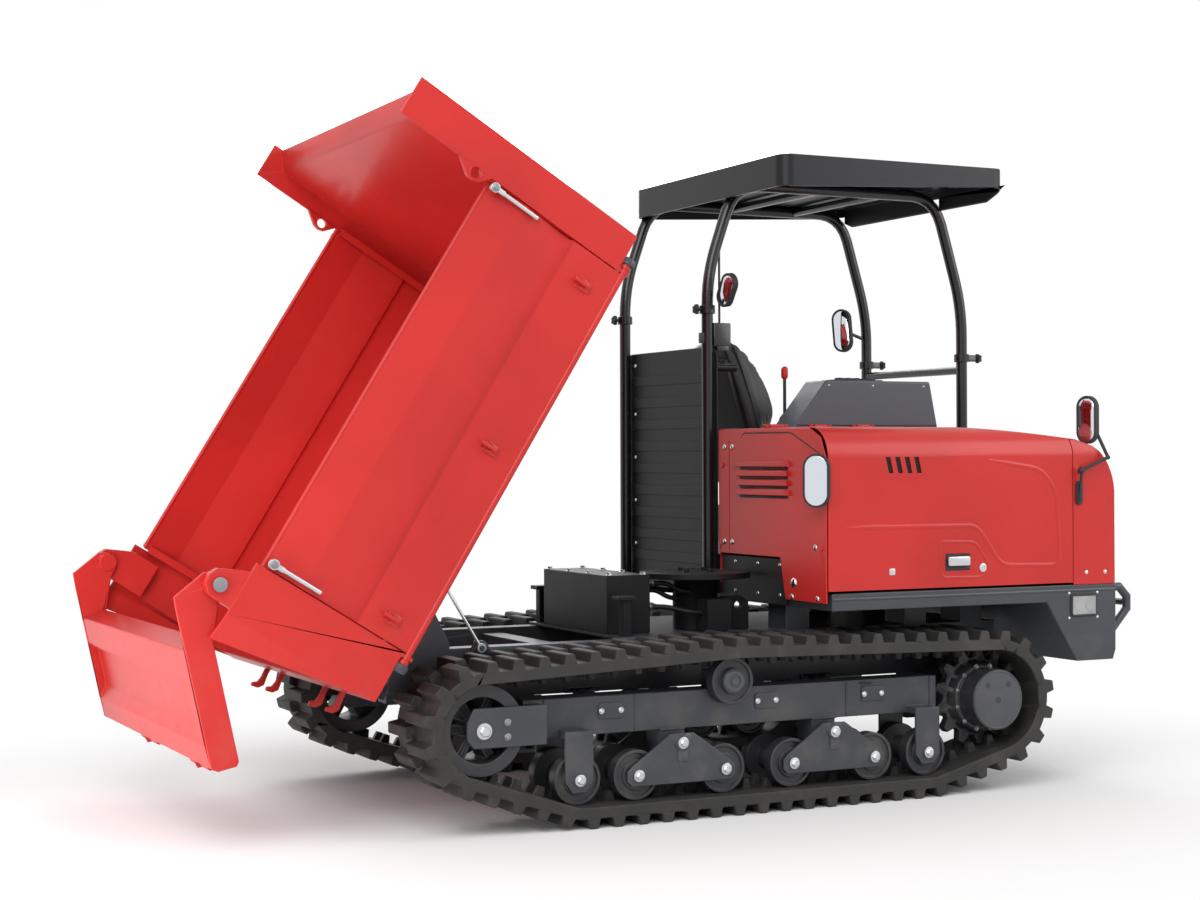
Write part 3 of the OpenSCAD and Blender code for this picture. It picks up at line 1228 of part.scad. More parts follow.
// Closed cushion on a flat base, with its sides drawn in below the rolled edge
module pad(l, w, h, crown, bolster, channels, taper = 0) {
    nx = 30;
    ny = 14;
    bands = [[0.985, 0.5], [1, 0.34], [0.985, 0.16], [0.93, 0]];
    plan = function(u, v, f) [l / 2 * u * sqrt(1 - 0.17 * v * v) * f,
        w / 2 * v * sqrt(1 - 0.17 * u * u) * f * (1 - taper * (u + 1) / 2)];
    top = [for (i = [0:nx], j = [0:ny]) let (u = 2 * i / nx - 1, v = 2 * j / ny - 1, p = plan(u, v, 0.955))
        [p.x, p.y, pad_height(u, v, h, crown, bolster, channels, taper > 0)]];
    rim = concat([for (i = [0:nx - 1]) [i, 0]], [for (j = [0:ny - 1]) [nx, j]],
        [for (i = [nx:-1:1]) [i, ny]], [for (j = [ny:-1:1]) [0, j]]);
    n = len(rim);
    sides = [for (band = bands, r = rim) let (p = plan(2 * r[0] / nx - 1, 2 * r[1] / ny - 1, band[0]))
        [p.x, p.y, band[1] * h]];
    base = len(top);
    ring = concat([[for (r = rim) r[0] * (ny + 1) + r[1]]],
        [for (k = [0:len(bands) - 1]) [for (t = [0:n - 1]) base + k * n + t]]);
    faces = concat(
        [for (i = [0:nx - 1], j = [0:ny - 1]) let (a = i * (ny + 1) + j, b = a + ny + 1)
            each [[a, a + 1, b + 1], [a, b + 1, b]]],
        [for (k = [0:len(bands) - 1], t = [0:n - 1]) let (m = (t + 1) % n)
            each [[ring[k][t], ring[k][m], ring[k + 1][m]], [ring[k][t], ring[k + 1][m], ring[k + 1][t]]]],
        [ring[len(bands)]]);
    polyhedron(concat(top, sides), faces);
}

module seat_cushion() color(BLACK) machine()
    translate([(seat_rear_s + 116 + seat_front_s) / 2, seat_y, seat_z - 125])
        pad(seat_front_s - seat_rear_s - 116, seat_w, 117, 8, 14, [-0.36, 0.02, 0.4]);

module seat_backrest() color(BLACK) machine() {
    long = (seat_back_z - seat_z + 78) / cos(seat_lean);
    translate([seat_rear_s, seat_y, seat_z - 96]) rotate([0, 90 - seat_lean, 0])
        translate([-long / 2, 0, 0]) rotate([0, 0, 180])
            pad(long, seat_w - 30, 105, 4, 75, [-0.62, -0.2, 0.22, 0.6], 0.16);
}

main_frame();
track_frame("right");  // track_frame_right
track_frame("left");  // track_frame_left
track_belt("right");  // track_belt_right
track_belt("left");  // track_belt_left
platform_skirt();
rear_guard();
canopy_frame();
canopy_roof();
louvre_panel();
nose_cowl();
console();
engine();
hydraulic_unit();
work_lights();
bed();
tailgate_hooks();
tailgate();
for (side = SIDES) side_gate(side);
for (side = SIDES, end = ENDS)
    gate_latch(end, side);
lift_barrel();
lift_rod();
bed_prop();
hood();
hood_latch();
mirror_rear_right();
mirror_front_right();
mirror_rear_post();
mirror_front_left();
seat_pan();
seat_cushion();
seat_backrest();
travel_lever();
dump_lever();
for (side = SIDES) sprocket(side);
for (side = SIDES) idler(side);
for (side = SIDES, i = [0, 1])
    bogie(i, side);
for (side = SIDES, i = [0:5])
    roller(i, side);
for (side = SIDES) carrier_roller(side);
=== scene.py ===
"""Dresses the tracked power carrier.

Skins over its solids, small fittings, soft seat pads, finishes, light and camera.
"""

from __future__ import annotations

import json
import logging
from abc import ABC, abstractmethod
from dataclasses import dataclass, field
from enum import Enum
from math import cos, pi, radians, sin
from typing import Any, Iterable, Sequence

import bmesh
import bpy
import numpy as np
from mathutils import Matrix


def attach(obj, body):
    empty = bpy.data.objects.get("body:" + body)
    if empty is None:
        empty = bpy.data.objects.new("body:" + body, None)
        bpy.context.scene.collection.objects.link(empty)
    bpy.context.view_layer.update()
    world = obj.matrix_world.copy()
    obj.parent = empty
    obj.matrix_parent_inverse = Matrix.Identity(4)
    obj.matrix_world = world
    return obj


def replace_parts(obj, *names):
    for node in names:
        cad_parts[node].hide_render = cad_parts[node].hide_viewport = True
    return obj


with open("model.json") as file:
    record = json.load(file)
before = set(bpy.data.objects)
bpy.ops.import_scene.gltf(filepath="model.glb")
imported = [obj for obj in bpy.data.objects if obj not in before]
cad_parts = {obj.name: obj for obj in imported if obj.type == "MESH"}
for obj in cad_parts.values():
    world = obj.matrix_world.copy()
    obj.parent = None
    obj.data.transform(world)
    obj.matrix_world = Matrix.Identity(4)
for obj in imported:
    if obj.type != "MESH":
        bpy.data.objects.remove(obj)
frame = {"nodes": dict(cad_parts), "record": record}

Array = np.ndarray
log = logging.getLogger("carrier")

# Millimetres in a metre, the sprocket axle's place in the frame, and how near points are merged, in metres
MM = 1000.0
SPROCKET_X = 1287.0
MERGE = 2e-5
WHITE = (1.0, 1.0, 1.0, 1.0)
X, Y, Z = np.eye(3)


class Side(Enum):
    """The machine's two sides, with the sign of their outward direction."""

    RIGHT = ("right", -1.0)
    LEFT = ("left", 1.0)

    @property
    def label(self) -> str:
        """Name used in node names."""
        return self.value[0]

    @property
    def sign(self) -> float:
        """Outward direction along Y."""
        return self.value[1]

    @property
    def out(self) -> Array:
        """Outward unit vector."""
        return self.sign * Y

    @property
    def along(self) -> Array:
        """Unit vector that makes a right-handed face frame with +Z and the outward vector."""
        return -self.sign * X


# Shader graph


class Wire:
    """A value socket; arithmetic on it adds Math nodes."""

    def __init__(self, graph: "Graph", socket: bpy.types.NodeSocket) -> None:
        """Keeps the graph and the socket."""
        self.graph, self.socket = graph, socket

    def _math(self, operation: str, a: Any, b: Any) -> "Wire":
        """One Math node.

        Args:
            operation: Blender's name of the operation.
            a: First value or wire.
            b: Second value or wire.
        Returns:
            The node's result.
        """
        return self.graph.node("ShaderNodeMath", {"operation": operation}, {0: a, 1: b})

    def __add__(self, other: Any) -> "Wire":
        """Sum."""
        return self._math("ADD", self, other)

    __radd__ = __add__

    def __sub__(self, other: Any) -> "Wire":
        """Difference."""
        return self._math("SUBTRACT", self, other)

    def __rsub__(self, other: Any) -> "Wire":
        """Reflected difference."""
        return self._math("SUBTRACT", other, self)

    def __mul__(self, other: Any) -> "Wire":
        """Product."""
        return self._math("MULTIPLY", self, other)

    __rmul__ = __mul__


class Graph:
    """The node tree of one material."""

    def __init__(self, tree: bpy.types.NodeTree) -> None:
        """Empties the tree."""
        self.tree = tree
        tree.nodes.clear()

    def node(self, kind: str, settings: dict[str, Any] | None = None,
             sockets: dict[str | int, Any] | None = None, out: str | int = 0) -> Wire:
        """Adds a node.

        Args:
            kind: Node type.
            settings: Properties set first; "stops" fills a colour ramp.
            sockets: Values or wires by socket name or number.
            out: Output socket that is returned.
        Returns:
            The chosen output.
        """
        made = self.tree.nodes.new(kind)
        for key, value in (settings or {}).items():
            if key == "stops":
                ramp = made.color_ramp
                while len(ramp.elements) < len(value):
                    ramp.elements.new(0.5)
                for element, (place, colour) in zip(ramp.elements, value):
                    element.position, element.color = place, (*colour, 1.0)
            else:
                setattr(made, key, value)
        for key, value in (sockets or {}).items():
            if isinstance(value, Wire):
                self.tree.links.new(value.socket, made.inputs[key])
            else:
                made.inputs[key].default_value = value
        return Wire(self, made.outputs[out]) if len(made.outputs) else Wire(self, None)

    def place(self, scale: Sequence[float] = (1.0, 1.0, 1.0)) -> Wire:
        """Object coordinates, stretched by a scale for each axis."""
        spot = self.node("ShaderNodeTexCoord", out="Object")
        return self.node("ShaderNodeVectorMath", {"operation": "MULTIPLY"}, {0: spot, 1: scale})

    def height(self) -> Wire:
        """Height above the ground, in metres."""
        return self.node("ShaderNodeSeparateXYZ", sockets={0: self.place()}, out="Z")

    def noise(self, scale: float, detail: float = 3.0, stretch: Sequence[float] = (1.0, 1.0, 1.0)) -> Wire:
        """Cloudy value from 0 to 1."""
        sockets = {"Vector": self.place(stretch), "Scale": scale, "Detail": detail}
        return self.node("ShaderNodeTexNoise", sockets=sockets)

    def cells(self, scale: float) -> Wire:
        """Distance to the nearest point of a cell pattern."""
        return self.node("ShaderNodeTexVoronoi", sockets={"Vector": self.place(), "Scale": scale}, out="Distance")

    def ramp(self, value: Wire, low: float, high: float) -> Wire:
        """Maps low to 0 and high to 1, smoothly, and clamps."""
        return self.node("ShaderNodeMapRange", {"interpolation_type": "SMOOTHSTEP"},
                         {"Value": value, "From Min": low, "From Max": high})

    def dust(self, height: tuple[float, float], scale: float, patch: tuple[float, float]) -> Wire:
        """Dust: one near the ground and none above a height, broken into patches by clouds."""
        low = 1.0 - self.ramp(self.height(), *height)
        return low * self.ramp(self.noise(scale, 6.0), *patch)

    def mix(self, factor: Any, a: Any, b: Any) -> Wire:
        """Mixes two colours, given as wires or linear triples."""
        a, b = ((*c, 1.0) if isinstance(c, tuple) else c for c in (a, b))
        return self.node("ShaderNodeMix", {"data_type": "RGBA"}, {0: factor, 6: a, 7: b}, out=2)

    def bump(self, height: Wire, strength: float, depth: float) -> Wire:
        """Bump from a height in 0..1 that stands for a depth in metres."""
        return self.node("ShaderNodeBump", sockets={"Strength": strength, "Distance": depth, "Height": height})

    def surface(self, **sockets: Any) -> None:
        """Principled shader and output; underscores in names stand for spaces.

        Args:
            **sockets: Values or wires by socket name.
        """
        named = {key.replace("_", " "): (*v, 1.0) if isinstance(v, tuple) else v for key, v in sockets.items()}
        shader = self.node("ShaderNodeBsdfPrincipled", sockets=named)
        self.node("ShaderNodeOutputMaterial", sockets={"Surface": shader})


def srgb(red: int, green: int, blue: int) -> tuple[float, float, float]:
    """Linear colour of an 8-bit screen colour."""
    c = np.array([red, green, blue]) / 255.0
    return tuple(np.where(c <= 0.04045, c / 12.92, ((c + 0.055) / 1.055) ** 2.4).tolist())


ROAD_DUST = srgb(150, 138, 120)
CASTING_DUST = srgb(140, 130, 115)
TREAD_DUST = srgb(104, 98, 90)
# Grey of the lamp's reflector, painted into the lamp glass as reflection facets.
PAINTED_REFLECTOR_GREY = srgb(150, 154, 160)


# Finishes


@dataclass(frozen=True)
class Finish(ABC):
    """A finish: its material's name and the record's slot that it stands for."""

    name: str
    slot: str

    @abstractmethod
    def shade(self, graph: Graph) -> None:
        """Fills the material's graph."""

    def material(self) -> bpy.types.Material:
        """The material, made once.

        Returns:
            The shared material of this finish.
        """
        found = bpy.data.materials.get(self.name)
        if found is None:
            found = bpy.data.materials.new(self.name)
            found.use_nodes = True
            self.shade(Graph(found.node_tree))
        return found


@dataclass(frozen=True)
class Enamel(Finish):
    """Sprayed paint: a tint that drifts a little, orange peel, and dust that gathers low down."""

    colour: tuple[float, float, float]
    rough: float
    coat: float
    peel: float = 0.00012
    dust: float = 0.10
    gleam: float = 0.5

    def shade(self, graph: Graph) -> None:
        """Tint by slow clouds, dust by height, gloss by fine clouds, bump by orange peel.

        Args:
            graph: The material's graph.
        """
        deep = tuple(0.86 * c for c in self.colour)
        tint = graph.mix(graph.ramp(graph.noise(1.7, 4.0), 0.35, 0.7), self.colour, deep)
        dust = graph.dust((0.1, 1.0), 9.0, (0.42, 0.74)) * self.dust
        gloss = self.rough + 0.06 * graph.noise(14.0, 4.0) + 0.25 * dust
        peel = graph.bump(graph.noise(260.0, 2.0), 0.35, self.peel)
        graph.surface(Base_Color=graph.mix(dust, tint, ROAD_DUST), Roughness=gloss, Normal=peel,
                      Coat_Weight=self.coat, Coat_Roughness=0.12, Specular_IOR_Level=self.gleam)


@dataclass(frozen=True)
class Moulded(Finish):
    """Moulded plastic with a fine grain and faint scuffs."""

    colour: tuple[float, float, float]
    rough: float
    grain: float = 900.0
    gleam: float = 0.5

    def shade(self, graph: Graph) -> None:
        """Grain from small cells, sheen from slow clouds, scuffs from stretched noise.

        Args:
            graph: The material's graph.
        """
        scuff = graph.ramp(graph.noise(30.0, 5.0, (1.0, 1.0, 0.2)), 0.62, 0.8) * 0.12
        lighter = tuple(min(1.0, 1.5 * c + 0.015) for c in self.colour)
        graph.surface(Base_Color=graph.mix(scuff, self.colour, lighter),
                      Roughness=self.rough + 0.08 * graph.noise(22.0) - 0.04,
                      Normal=graph.bump(graph.cells(self.grain), 0.4, 0.0002), Specular_IOR_Level=self.gleam)


@dataclass(frozen=True)
class Cast(Finish):
    """Painted casting with a sandy skin and dust low down."""

    colour: tuple[float, float, float]
    rough: float

    def shade(self, graph: Graph) -> None:
        """Sand from two noises, tint from slow clouds, dust by height.

        Args:
            graph: The material's graph.
        """
        sand = 0.6 * graph.noise(420.0, 2.0) + 0.4 * graph.noise(90.0, 4.0)
        dust = graph.dust((0.05, 0.75), 11.0, (0.45, 0.8)) * 0.16
        tint = graph.mix(graph.noise(4.0, 4.0), self.colour, tuple(1.35 * c for c in self.colour))
        graph.surface(Base_Color=graph.mix(dust, tint, CASTING_DUST),
                      Roughness=self.rough + 0.15 * graph.noise(16.0) - 0.05, Normal=graph.bump(sand, 0.45, 0.0005))


@dataclass(frozen=True)
class Rubber(Finish):
    """Track rubber: dull, mottled, dusted on the treads."""

    colour: tuple[float, float, float]

    def shade(self, graph: Graph) -> None:
        """Mottle from clouds, mould marks from fine noise, dust from patches.

        Args:
            graph: The material's graph.
        """
        patch = graph.ramp(graph.noise(6.0, 7.0), 0.46, 0.76) * 0.22
        tint = graph.mix(graph.noise(24.0, 5.0), self.colour, tuple(1.7 * c for c in self.colour))
        skin = 0.55 * graph.noise(340.0, 3.0) + 0.45 * graph.noise(60.0, 5.0)
        graph.surface(Base_Color=graph.mix(patch, tint, TREAD_DUST),
                      Roughness=0.56 + 0.2 * graph.noise(18.0, 4.0) + 0.3 * patch,
                      Normal=graph.bump(skin, 0.5, 0.0007))


@dataclass(frozen=True)
class Plated(Finish):
    """Bare or plated metal with a faint draw or turning grain."""

    colour: tuple[float, float, float]
    rough: float
    bloom: float = 0.15

    def shade(self, graph: Graph) -> None:
        """Gloss from blotches and a fine grain.

        Args:
            graph: The material's graph.
        """
        blotch = graph.noise(36.0, 5.0)
        tint = graph.mix(self.bloom * blotch, self.colour, tuple(0.6 * c for c in self.colour))
        graph.surface(Base_Color=tint, Metallic=1.0, Roughness=self.rough + self.bloom * blotch,
                      Normal=graph.bump(graph.noise(500.0, 2.0), 0.2, 0.0001))


@dataclass(frozen=True)
class Vinyl(Finish):
    """Seat cover: black vinyl with a leather grain."""

    colour: tuple[float, float, float]

    def shade(self, graph: Graph) -> None:
        """Grain from cells broken by noise, sheen from slow clouds.

        Args:
            graph: The material's graph.
        """
        grain = graph.cells(430.0) + 0.35 * graph.noise(160.0, 3.0)
        tint = graph.mix(graph.noise(7.0, 4.0), self.colour, tuple(1.6 * c for c in self.colour))
        graph.surface(Base_Color=tint, Roughness=0.4 + 0.14 * graph.noise(12.0),
                      Normal=graph.bump(grain, 0.45, 0.0004), Sheen_Weight=0.12, Sheen_Roughness=0.4)


@dataclass(frozen=True)
class Lens(Finish):
    """Ribbed lamp glass whose colour carries painted reflection facets of the pale reflector behind it."""

    colour: tuple[float, float, float]

    def shade(self, graph: Graph) -> None:
        """Upright flutes from a sine wave, painted reflection facets of the reflector from cells.

        Args:
            graph: The material's graph.
        """
        along = graph.node("ShaderNodeSeparateXYZ", sockets={0: graph.place()}, out="X")
        flutes = graph.node("ShaderNodeMath", {"operation": "SINE"}, {0: along * 900.0}) * 0.5 + 0.5
        # Painted reflection: grey cell facets in the glass's colour stand in for the reflector seen through it.
        painted_reflection_facets = graph.ramp(graph.cells(60.0), 0.1, 0.7)
        graph.surface(Base_Color=graph.mix(painted_reflection_facets, self.colour, PAINTED_REFLECTOR_GREY),
                      Roughness=0.08 + 0.05 * graph.noise(40.0), Normal=graph.bump(flutes, 0.5, 0.0006),
                      Coat_Weight=1.0, Coat_Roughness=0.03, Specular_IOR_Level=0.8)


RED = Enamel("red_enamel", "red_paint", srgb(194, 44, 40), 0.32, 0.08, gleam=0.28)
CHARCOAL = Enamel("charcoal_enamel", "dark_paint", srgb(60, 63, 69), 0.36, 0.08, 0.00016, 0.14, 0.4)
GLOSS_BLACK = Enamel("gloss_black_enamel", "black_paint", srgb(26, 26, 29), 0.2, 0.12, 0.0001, 0.05, 0.4)
SATIN_BLACK = Enamel("satin_black_enamel", "black_paint", srgb(27, 27, 30), 0.42, 0.0, 0.00018, 0.05, 0.2)
WHEEL_BLACK = Cast("wheel_black", "black_wheel", srgb(40, 41, 44), 0.36)
CASTING = Cast("grey_casting", "cast_iron", srgb(62, 64, 68), 0.5)
BLACK_PLASTIC = Moulded("black_plastic", "black_plastic", srgb(28, 28, 30), 0.36)
GREY_PLASTIC = Moulded("grey_plastic", "dark_plastic", srgb(76, 81, 87), 0.42, 900.0, 0.35)
ROOF_PLASTIC = Moulded("roof_plastic", "black_plastic", srgb(34, 35, 38), 0.34, 500.0, 0.22)
TREAD = Rubber("tread_rubber", "track_rubber", srgb(33, 32, 31))
TRIM_RUBBER = Rubber("trim_rubber", "black_plastic", srgb(22, 22, 23))
ZINC = Plated("zinc_plate", "bright_steel", srgb(206, 208, 210), 0.24, 0.16)
STEEL = Plated("dull_steel", "bright_steel", srgb(150, 152, 156), 0.34, 0.2)
CHROME = Plated("hard_chrome", "rod_chrome", srgb(226, 228, 232), 0.07, 0.05)
SILVERING = Plated("mirror_silvering", "rod_chrome", srgb(214, 220, 226), 0.03, 0.02)
COVER = Vinyl("seat_cover", "seat_vinyl", srgb(24, 24, 26))
LAMP_GLASS = Lens("lamp_glass", "lamp_glass", srgb(244, 246, 248))


# Surfaces worked out with numpy, in millimetres from the sprocket axle


@dataclass(frozen=True)
class Shape:
    """Points and faces of a surface; each face array holds faces with the same number of corners."""

    points: Array
    faces: tuple[Array, ...]

    def moved(self, origin: Sequence[float], u: Array, v: Array) -> "Shape":
        """Puts a shape drawn in a local frame into a frame with axes u, v and their cross product."""
        basis = np.stack([u, v, np.cross(u, v)])
        return Shape(self.points @ basis + np.asarray(origin, float), self.faces)

    def stamped(self, origins: Array, u: Array, v: Array) -> "Shape":
        """One copy at each origin: every point plus every origin, faces shifted by whole copies.

        Args:
            origins: Places of the copies.
            u: Direction of the local X axis.
            v: Direction of the local Y axis.
        Returns:
            All copies as one shape.
        """
        here = self.moved((0.0, 0.0, 0.0), u, v).points
        origins = np.atleast_2d(np.asarray(origins, float))
        step = len(here) * np.arange(len(origins))
        points = (origins[:, None, :] + here[None]).reshape(-1, 3)
        return Shape(points, tuple((f[None] + step[:, None, None]).reshape(-1, f.shape[1]) for f in self.faces))


def joined(shapes: Iterable[Shape]) -> Shape:
    """Several shapes as one, each face numbered after the points before it.

    Args:
        shapes: The shapes, in order.
    Returns:
        One shape.
    """
    shapes = list(shapes)
    starts = np.cumsum([0] + [len(s.points) for s in shapes])
    faces = tuple(f + start for s, start in zip(shapes, starts) for f in s.faces)
    return Shape(np.concatenate([s.points for s in shapes]), faces)


def rings(grid: Array, closed: bool = False) -> Shape:
    """A surface of rows of points, each row a closed ring, and flat caps unless the rows close too.

    Args:
        grid: Points as (rows, corners, 3).
        closed: True if the last row joins the first.
    Returns:
        Quads between neighbouring rows, with a cap at each end.
    """
    rows, n = grid.shape[:2]
    i = np.arange(rows if closed else rows - 1)[:, None]
    j = np.arange(n)[None]
    a, b = i * n, (i + 1) % rows * n
    quads = np.stack([a + j, a + (j + 1) % n, b + (j + 1) % n, b + j], axis=-1).reshape(-1, 4)
    caps = () if closed else (np.arange(n)[None, ::-1], ((rows - 1) * n + np.arange(n))[None])
    return Shape(grid.reshape(-1, 3), (quads, *caps))


def turned(profile: Sequence[Sequence[float]], sides: int = 24) -> Shape:
    """A profile of (radius, height) turned about the local Z axis: radius times the circle, at each height.

    Args:
        profile: Radius and height of each ring.
        sides: Corners of a ring.
    Returns:
        The turned surface.
    """
    p = np.asarray(profile, float)
    ring = np.column_stack([circle(1.0, sides), np.zeros(sides)])
    return rings(p[:, None, :1] * ring[None] + p[:, None, 1:] * Z)


def carried(profile: Array, path: Array, up: Array = Z, closed: bool = False, scale: Array | None = None) -> Shape:
    """A closed profile carried along a path.

    At each station the profile's first axis is tangent x up, and its second axis completes the frame.

    Args:
        profile: Loop of (across, above) offsets.
        path: Stations as (n, 3).
        up: Vector that the second axis leans towards.
        closed: True if the path closes on itself.
        scale: Size of the profile at each station.
    Returns:
        The swept surface.
    """
    path = np.asarray(path, float)
    run = np.roll(path, -1, 0) - np.roll(path, 1, 0) if closed else np.gradient(path, axis=0)
    run = run / np.linalg.norm(run, axis=1, keepdims=True)
    across = np.cross(run, up)
    across = across / np.linalg.norm(across, axis=1, keepdims=True)
    above = np.cross(across, run)
    size = np.ones(len(path)) if scale is None else scale
    grid = path[:, None] + size[:, None, None] * (
        profile[None, :, :1] * across[:, None] + profile[None, :, 1:] * above[:, None])
    return rings(grid, closed)


def turns(count: int) -> Array:
    """Angles evenly spaced round a full turn."""
    return 2 * pi * np.arange(count) / count


def circle(radius: float, sides: int = 16) -> Array:
    """Loop of points on a circle: the radius times cos a and sin a."""
    a = turns(sides)
    return radius * np.stack([np.cos(a), np.sin(a)], axis=-1)


def hoop(centre: Sequence[float], radius: float, u: Array, v: Array, count: int, start: float = 0.0) -> Array:
    """Points evenly spaced on a circle in space: its centre plus the radius times cos a of u and sin a of v."""
    a = radians(start) + turns(count)
    return np.asarray(centre, float) + radius * (np.cos(a)[:, None] * u + np.sin(a)[:, None] * v)


def bead_profile(width: float, height: float, sides: int = 10) -> Array:
    """Low arch: half a sine across the width, closed a little below its foot.

    Args:
        width: Width of the foot.
        height: Height of the crown.
        sides: Points on the arch.
    Returns:
        Closed loop of (across, above) offsets.
    """
    t = np.linspace(0.0, 1.0, sides)
    arch = np.stack([width * (t - 0.5), height * np.sin(pi * t) ** 0.8], axis=-1)
    return np.concatenate([arch, [[width / 2, -1.0], [-width / 2, -1.0]]])[::-1]


def rounded(corners: Sequence[Sequence[float]], radius: float, steps: int = 6, closed: bool = True) -> Array:
    """A polyline with each corner replaced by a quadratic curve that starts and ends a radius from it.

    Args:
        corners: Corner points, in two or three dimensions.
        radius: Distance from corner to curve end, limited to 45% of the shorter neighbouring edge.
        steps: Points on each curve.
        closed: True for a loop.
    Returns:
        The smooth polyline.
    """
    c = np.asarray(corners, float)
    before, after = np.roll(c, 1, 0) - c, np.roll(c, -1, 0) - c
    lb, la = np.linalg.norm(before, axis=1), np.linalg.norm(after, axis=1)
    cut = np.minimum(radius, 0.45 * np.minimum(lb, la))[:, None]
    p, q = c + before / lb[:, None] * cut, c + after / la[:, None] * cut
    t = np.linspace(0.0, 1.0, steps)[None, :, None]
    curve = (1 - t) ** 2 * p[:, None] + 2 * t * (1 - t) * c[:, None] + t ** 2 * q[:, None]
    if closed:
        return curve.reshape(-1, c.shape[1])
    return np.concatenate([c[:1], curve[1:-1].reshape(-1, c.shape[1]), c[-1:]])


def thickened(path: Array, gap: float) -> Array:
    """Points added along a polyline so that none are further apart than the gap.

    Args:
        path: The polyline.
        gap: Greatest distance between neighbours.
    Returns:
        Evenly spaced points on it.
    """
    leg = np.linalg.norm(np.diff(path, axis=0), axis=1)
    at = np.concatenate([[0.0], np.cumsum(leg)])
    want = np.linspace(0.0, at[-1], max(3, int(at[-1] / gap) + 1))
    return np.stack([np.interp(want, at, path[:, k]) for k in range(path.shape[1])], axis=-1)


def plate(outline: Array, thick: float, edge: float) -> Shape:
    """A flat plate whose upper edge is eased: the outline at the foot, below the edge, and drawn in at the top.

    Args:
        outline: Loop of the foot.
        thick: Height of the plate.
        edge: Width of the eased edge.
    Returns:
        The plate, standing on the local XY plane.
    """
    centre = outline.mean(0)
    reach = np.abs(outline - centre).max(0)
    inner = centre + (outline - centre) * (1 - edge / reach)
    mid = centre + (outline - centre) * (1 - 0.3 * edge / reach)
    layers = [(outline, 0.0), (outline, thick - edge), (mid, thick - 0.3 * edge), (inner, thick)]
    return rings(np.stack([np.column_stack([p, np.full(len(p), h)]) for p, h in layers]))


def dome(outline: Array, crown: float, foot: float, steps: int = 9) -> Shape:
    """A lens: the outline shrunk towards its centre by cos a while the height grows as sin a, on a straight foot.

    Args:
        outline: Loop of the foot.
        crown: Height of the middle.
        foot: Depth of the straight foot.
        steps: Rings from foot to crown.
    Returns:
        The lens.
    """
    centre = outline.mean(0)
    a = np.linspace(0.0, 0.47 * pi, steps)
    size = np.concatenate([[1.0], np.cos(a)])
    height = np.concatenate([[-foot], crown * np.sin(a)])
    flat = centre + (outline - centre)[None] * size[:, None, None]
    return rings(np.concatenate([flat, np.broadcast_to(height[:, None, None], (*flat.shape[:2], 1))], axis=-1))


def stadium(width: float, length: float, sides: int = 40) -> Array:
    """Oval loop: a half circle at each end of a straight stretch along the second axis.

    Args:
        width: Width of the oval.
        length: Length of the oval.
        sides: Points on the loop.
    Returns:
        Closed loop.
    """
    a = 2 * pi * (np.arange(sides) + 0.5) / sides
    shift = np.sign(np.sin(a)) * (length - width) / 2
    return np.stack([width / 2 * np.cos(a), width / 2 * np.sin(a) + shift], axis=-1)


def rectangle(width: float, height: float, radius: float) -> Array:
    """Rounded rectangle about the origin."""
    w, h = width / 2, height / 2
    return rounded([(-w, -h), (w, -h), (w, h), (-w, h)], radius)


def hex_bolt(across: float, height: float) -> Shape:
    """Washer and chamfered six-sided head, standing on the local XY plane.

    Args:
        across: Width across the corners.
        height: Height of the head.
    Returns:
        The bolt's head.
    """
    r = across / 2
    washer = turned([(r * 1.45, -2.0), (r * 1.45, 2.2), (r * 1.3, 3.0)], 18)
    head = turned([(r, 2.4), (r, height * 0.85), (r * 0.82, height)], 6)
    return joined([washer, head])


def dome_bolt(r: float) -> Shape:
    """Button head: a quarter ellipse of height 0.55 r, turned."""
    a = np.linspace(0.0, 0.45 * pi, 5)
    return turned([(r, -1.5), *zip(r * np.cos(a), 0.55 * r * np.sin(a))], 16)


def star_knob(r: float, height: float) -> Shape:
    """Five-lobed hand knob on a stem: radius times one plus a sixth of the cosine of five turns, by height.

    Args:
        r: Mean radius of the head.
        height: Height of the head.
    Returns:
        The knob on its stem.
    """
    lobes = 1 + 0.16 * np.cos(5 * turns(40))
    ring = np.column_stack([circle(1.0, 40), np.zeros(40)]) * lobes[:, None]
    steps = np.array([(0.7, 0.0), (0.95, 0.12), (1.0, 0.3), (1.0, 0.7), (0.9, 0.92), (0.6, 1.0)]) * [r, height]
    head = rings(steps[:, None, :1] * ring[None] + steps[:, None, 1:] * Z + 10.0 * Z)
    return joined([head, turned([(6, -4), (6, 11)], 14)])


def weld(path: Array, size: float) -> Shape:
    """Weld bead: a circle carried along the path, swelling by a seventh every six millimetres.

    Args:
        path: Line of the joint.
        size: Mean radius of the bead.
    Returns:
        The bead.
    """
    dense = thickened(np.asarray(path, float), 2.0)
    at = np.arange(len(dense)) * 2.0
    up = Z if abs(dense[-1, 2] - dense[0, 2]) < 0.5 * np.linalg.norm(dense[-1] - dense[0]) else Y
    return carried(circle(size, 8), dense, up, scale=1 + np.sin(2 * pi * at / 6.0) / 7)


def ridge(corners: Sequence[Sequence[float]], width: float, height: float, radius: float, up: Array,
          closed: bool = False) -> Shape:
    """Pressed ridge: a low arch carried along a rounded polyline; an open one swells from a third at its ends.

    Args:
        corners: Corners of the line.
        width: Width of the arch.
        height: Height of the arch.
        radius: Rounding of the corners.
        up: Direction out of the panel.
        closed: True for a loop.
    Returns:
        The ridge.
    """
    line = rounded(corners, radius, 7, closed)
    line = thickened(np.concatenate([line, line[:1]]) if closed else line, 12.0)
    if closed:
        return carried(bead_profile(width, height), line[:-1], up, True)
    t = np.linspace(0.0, 1.0, len(line))
    swell = np.clip(0.33 + 12 * np.minimum(t, 1 - t), 0.33, 1.0)
    return carried(bead_profile(width, height), line, up, scale=swell)


# Workshop: puts shapes and skins into the scene


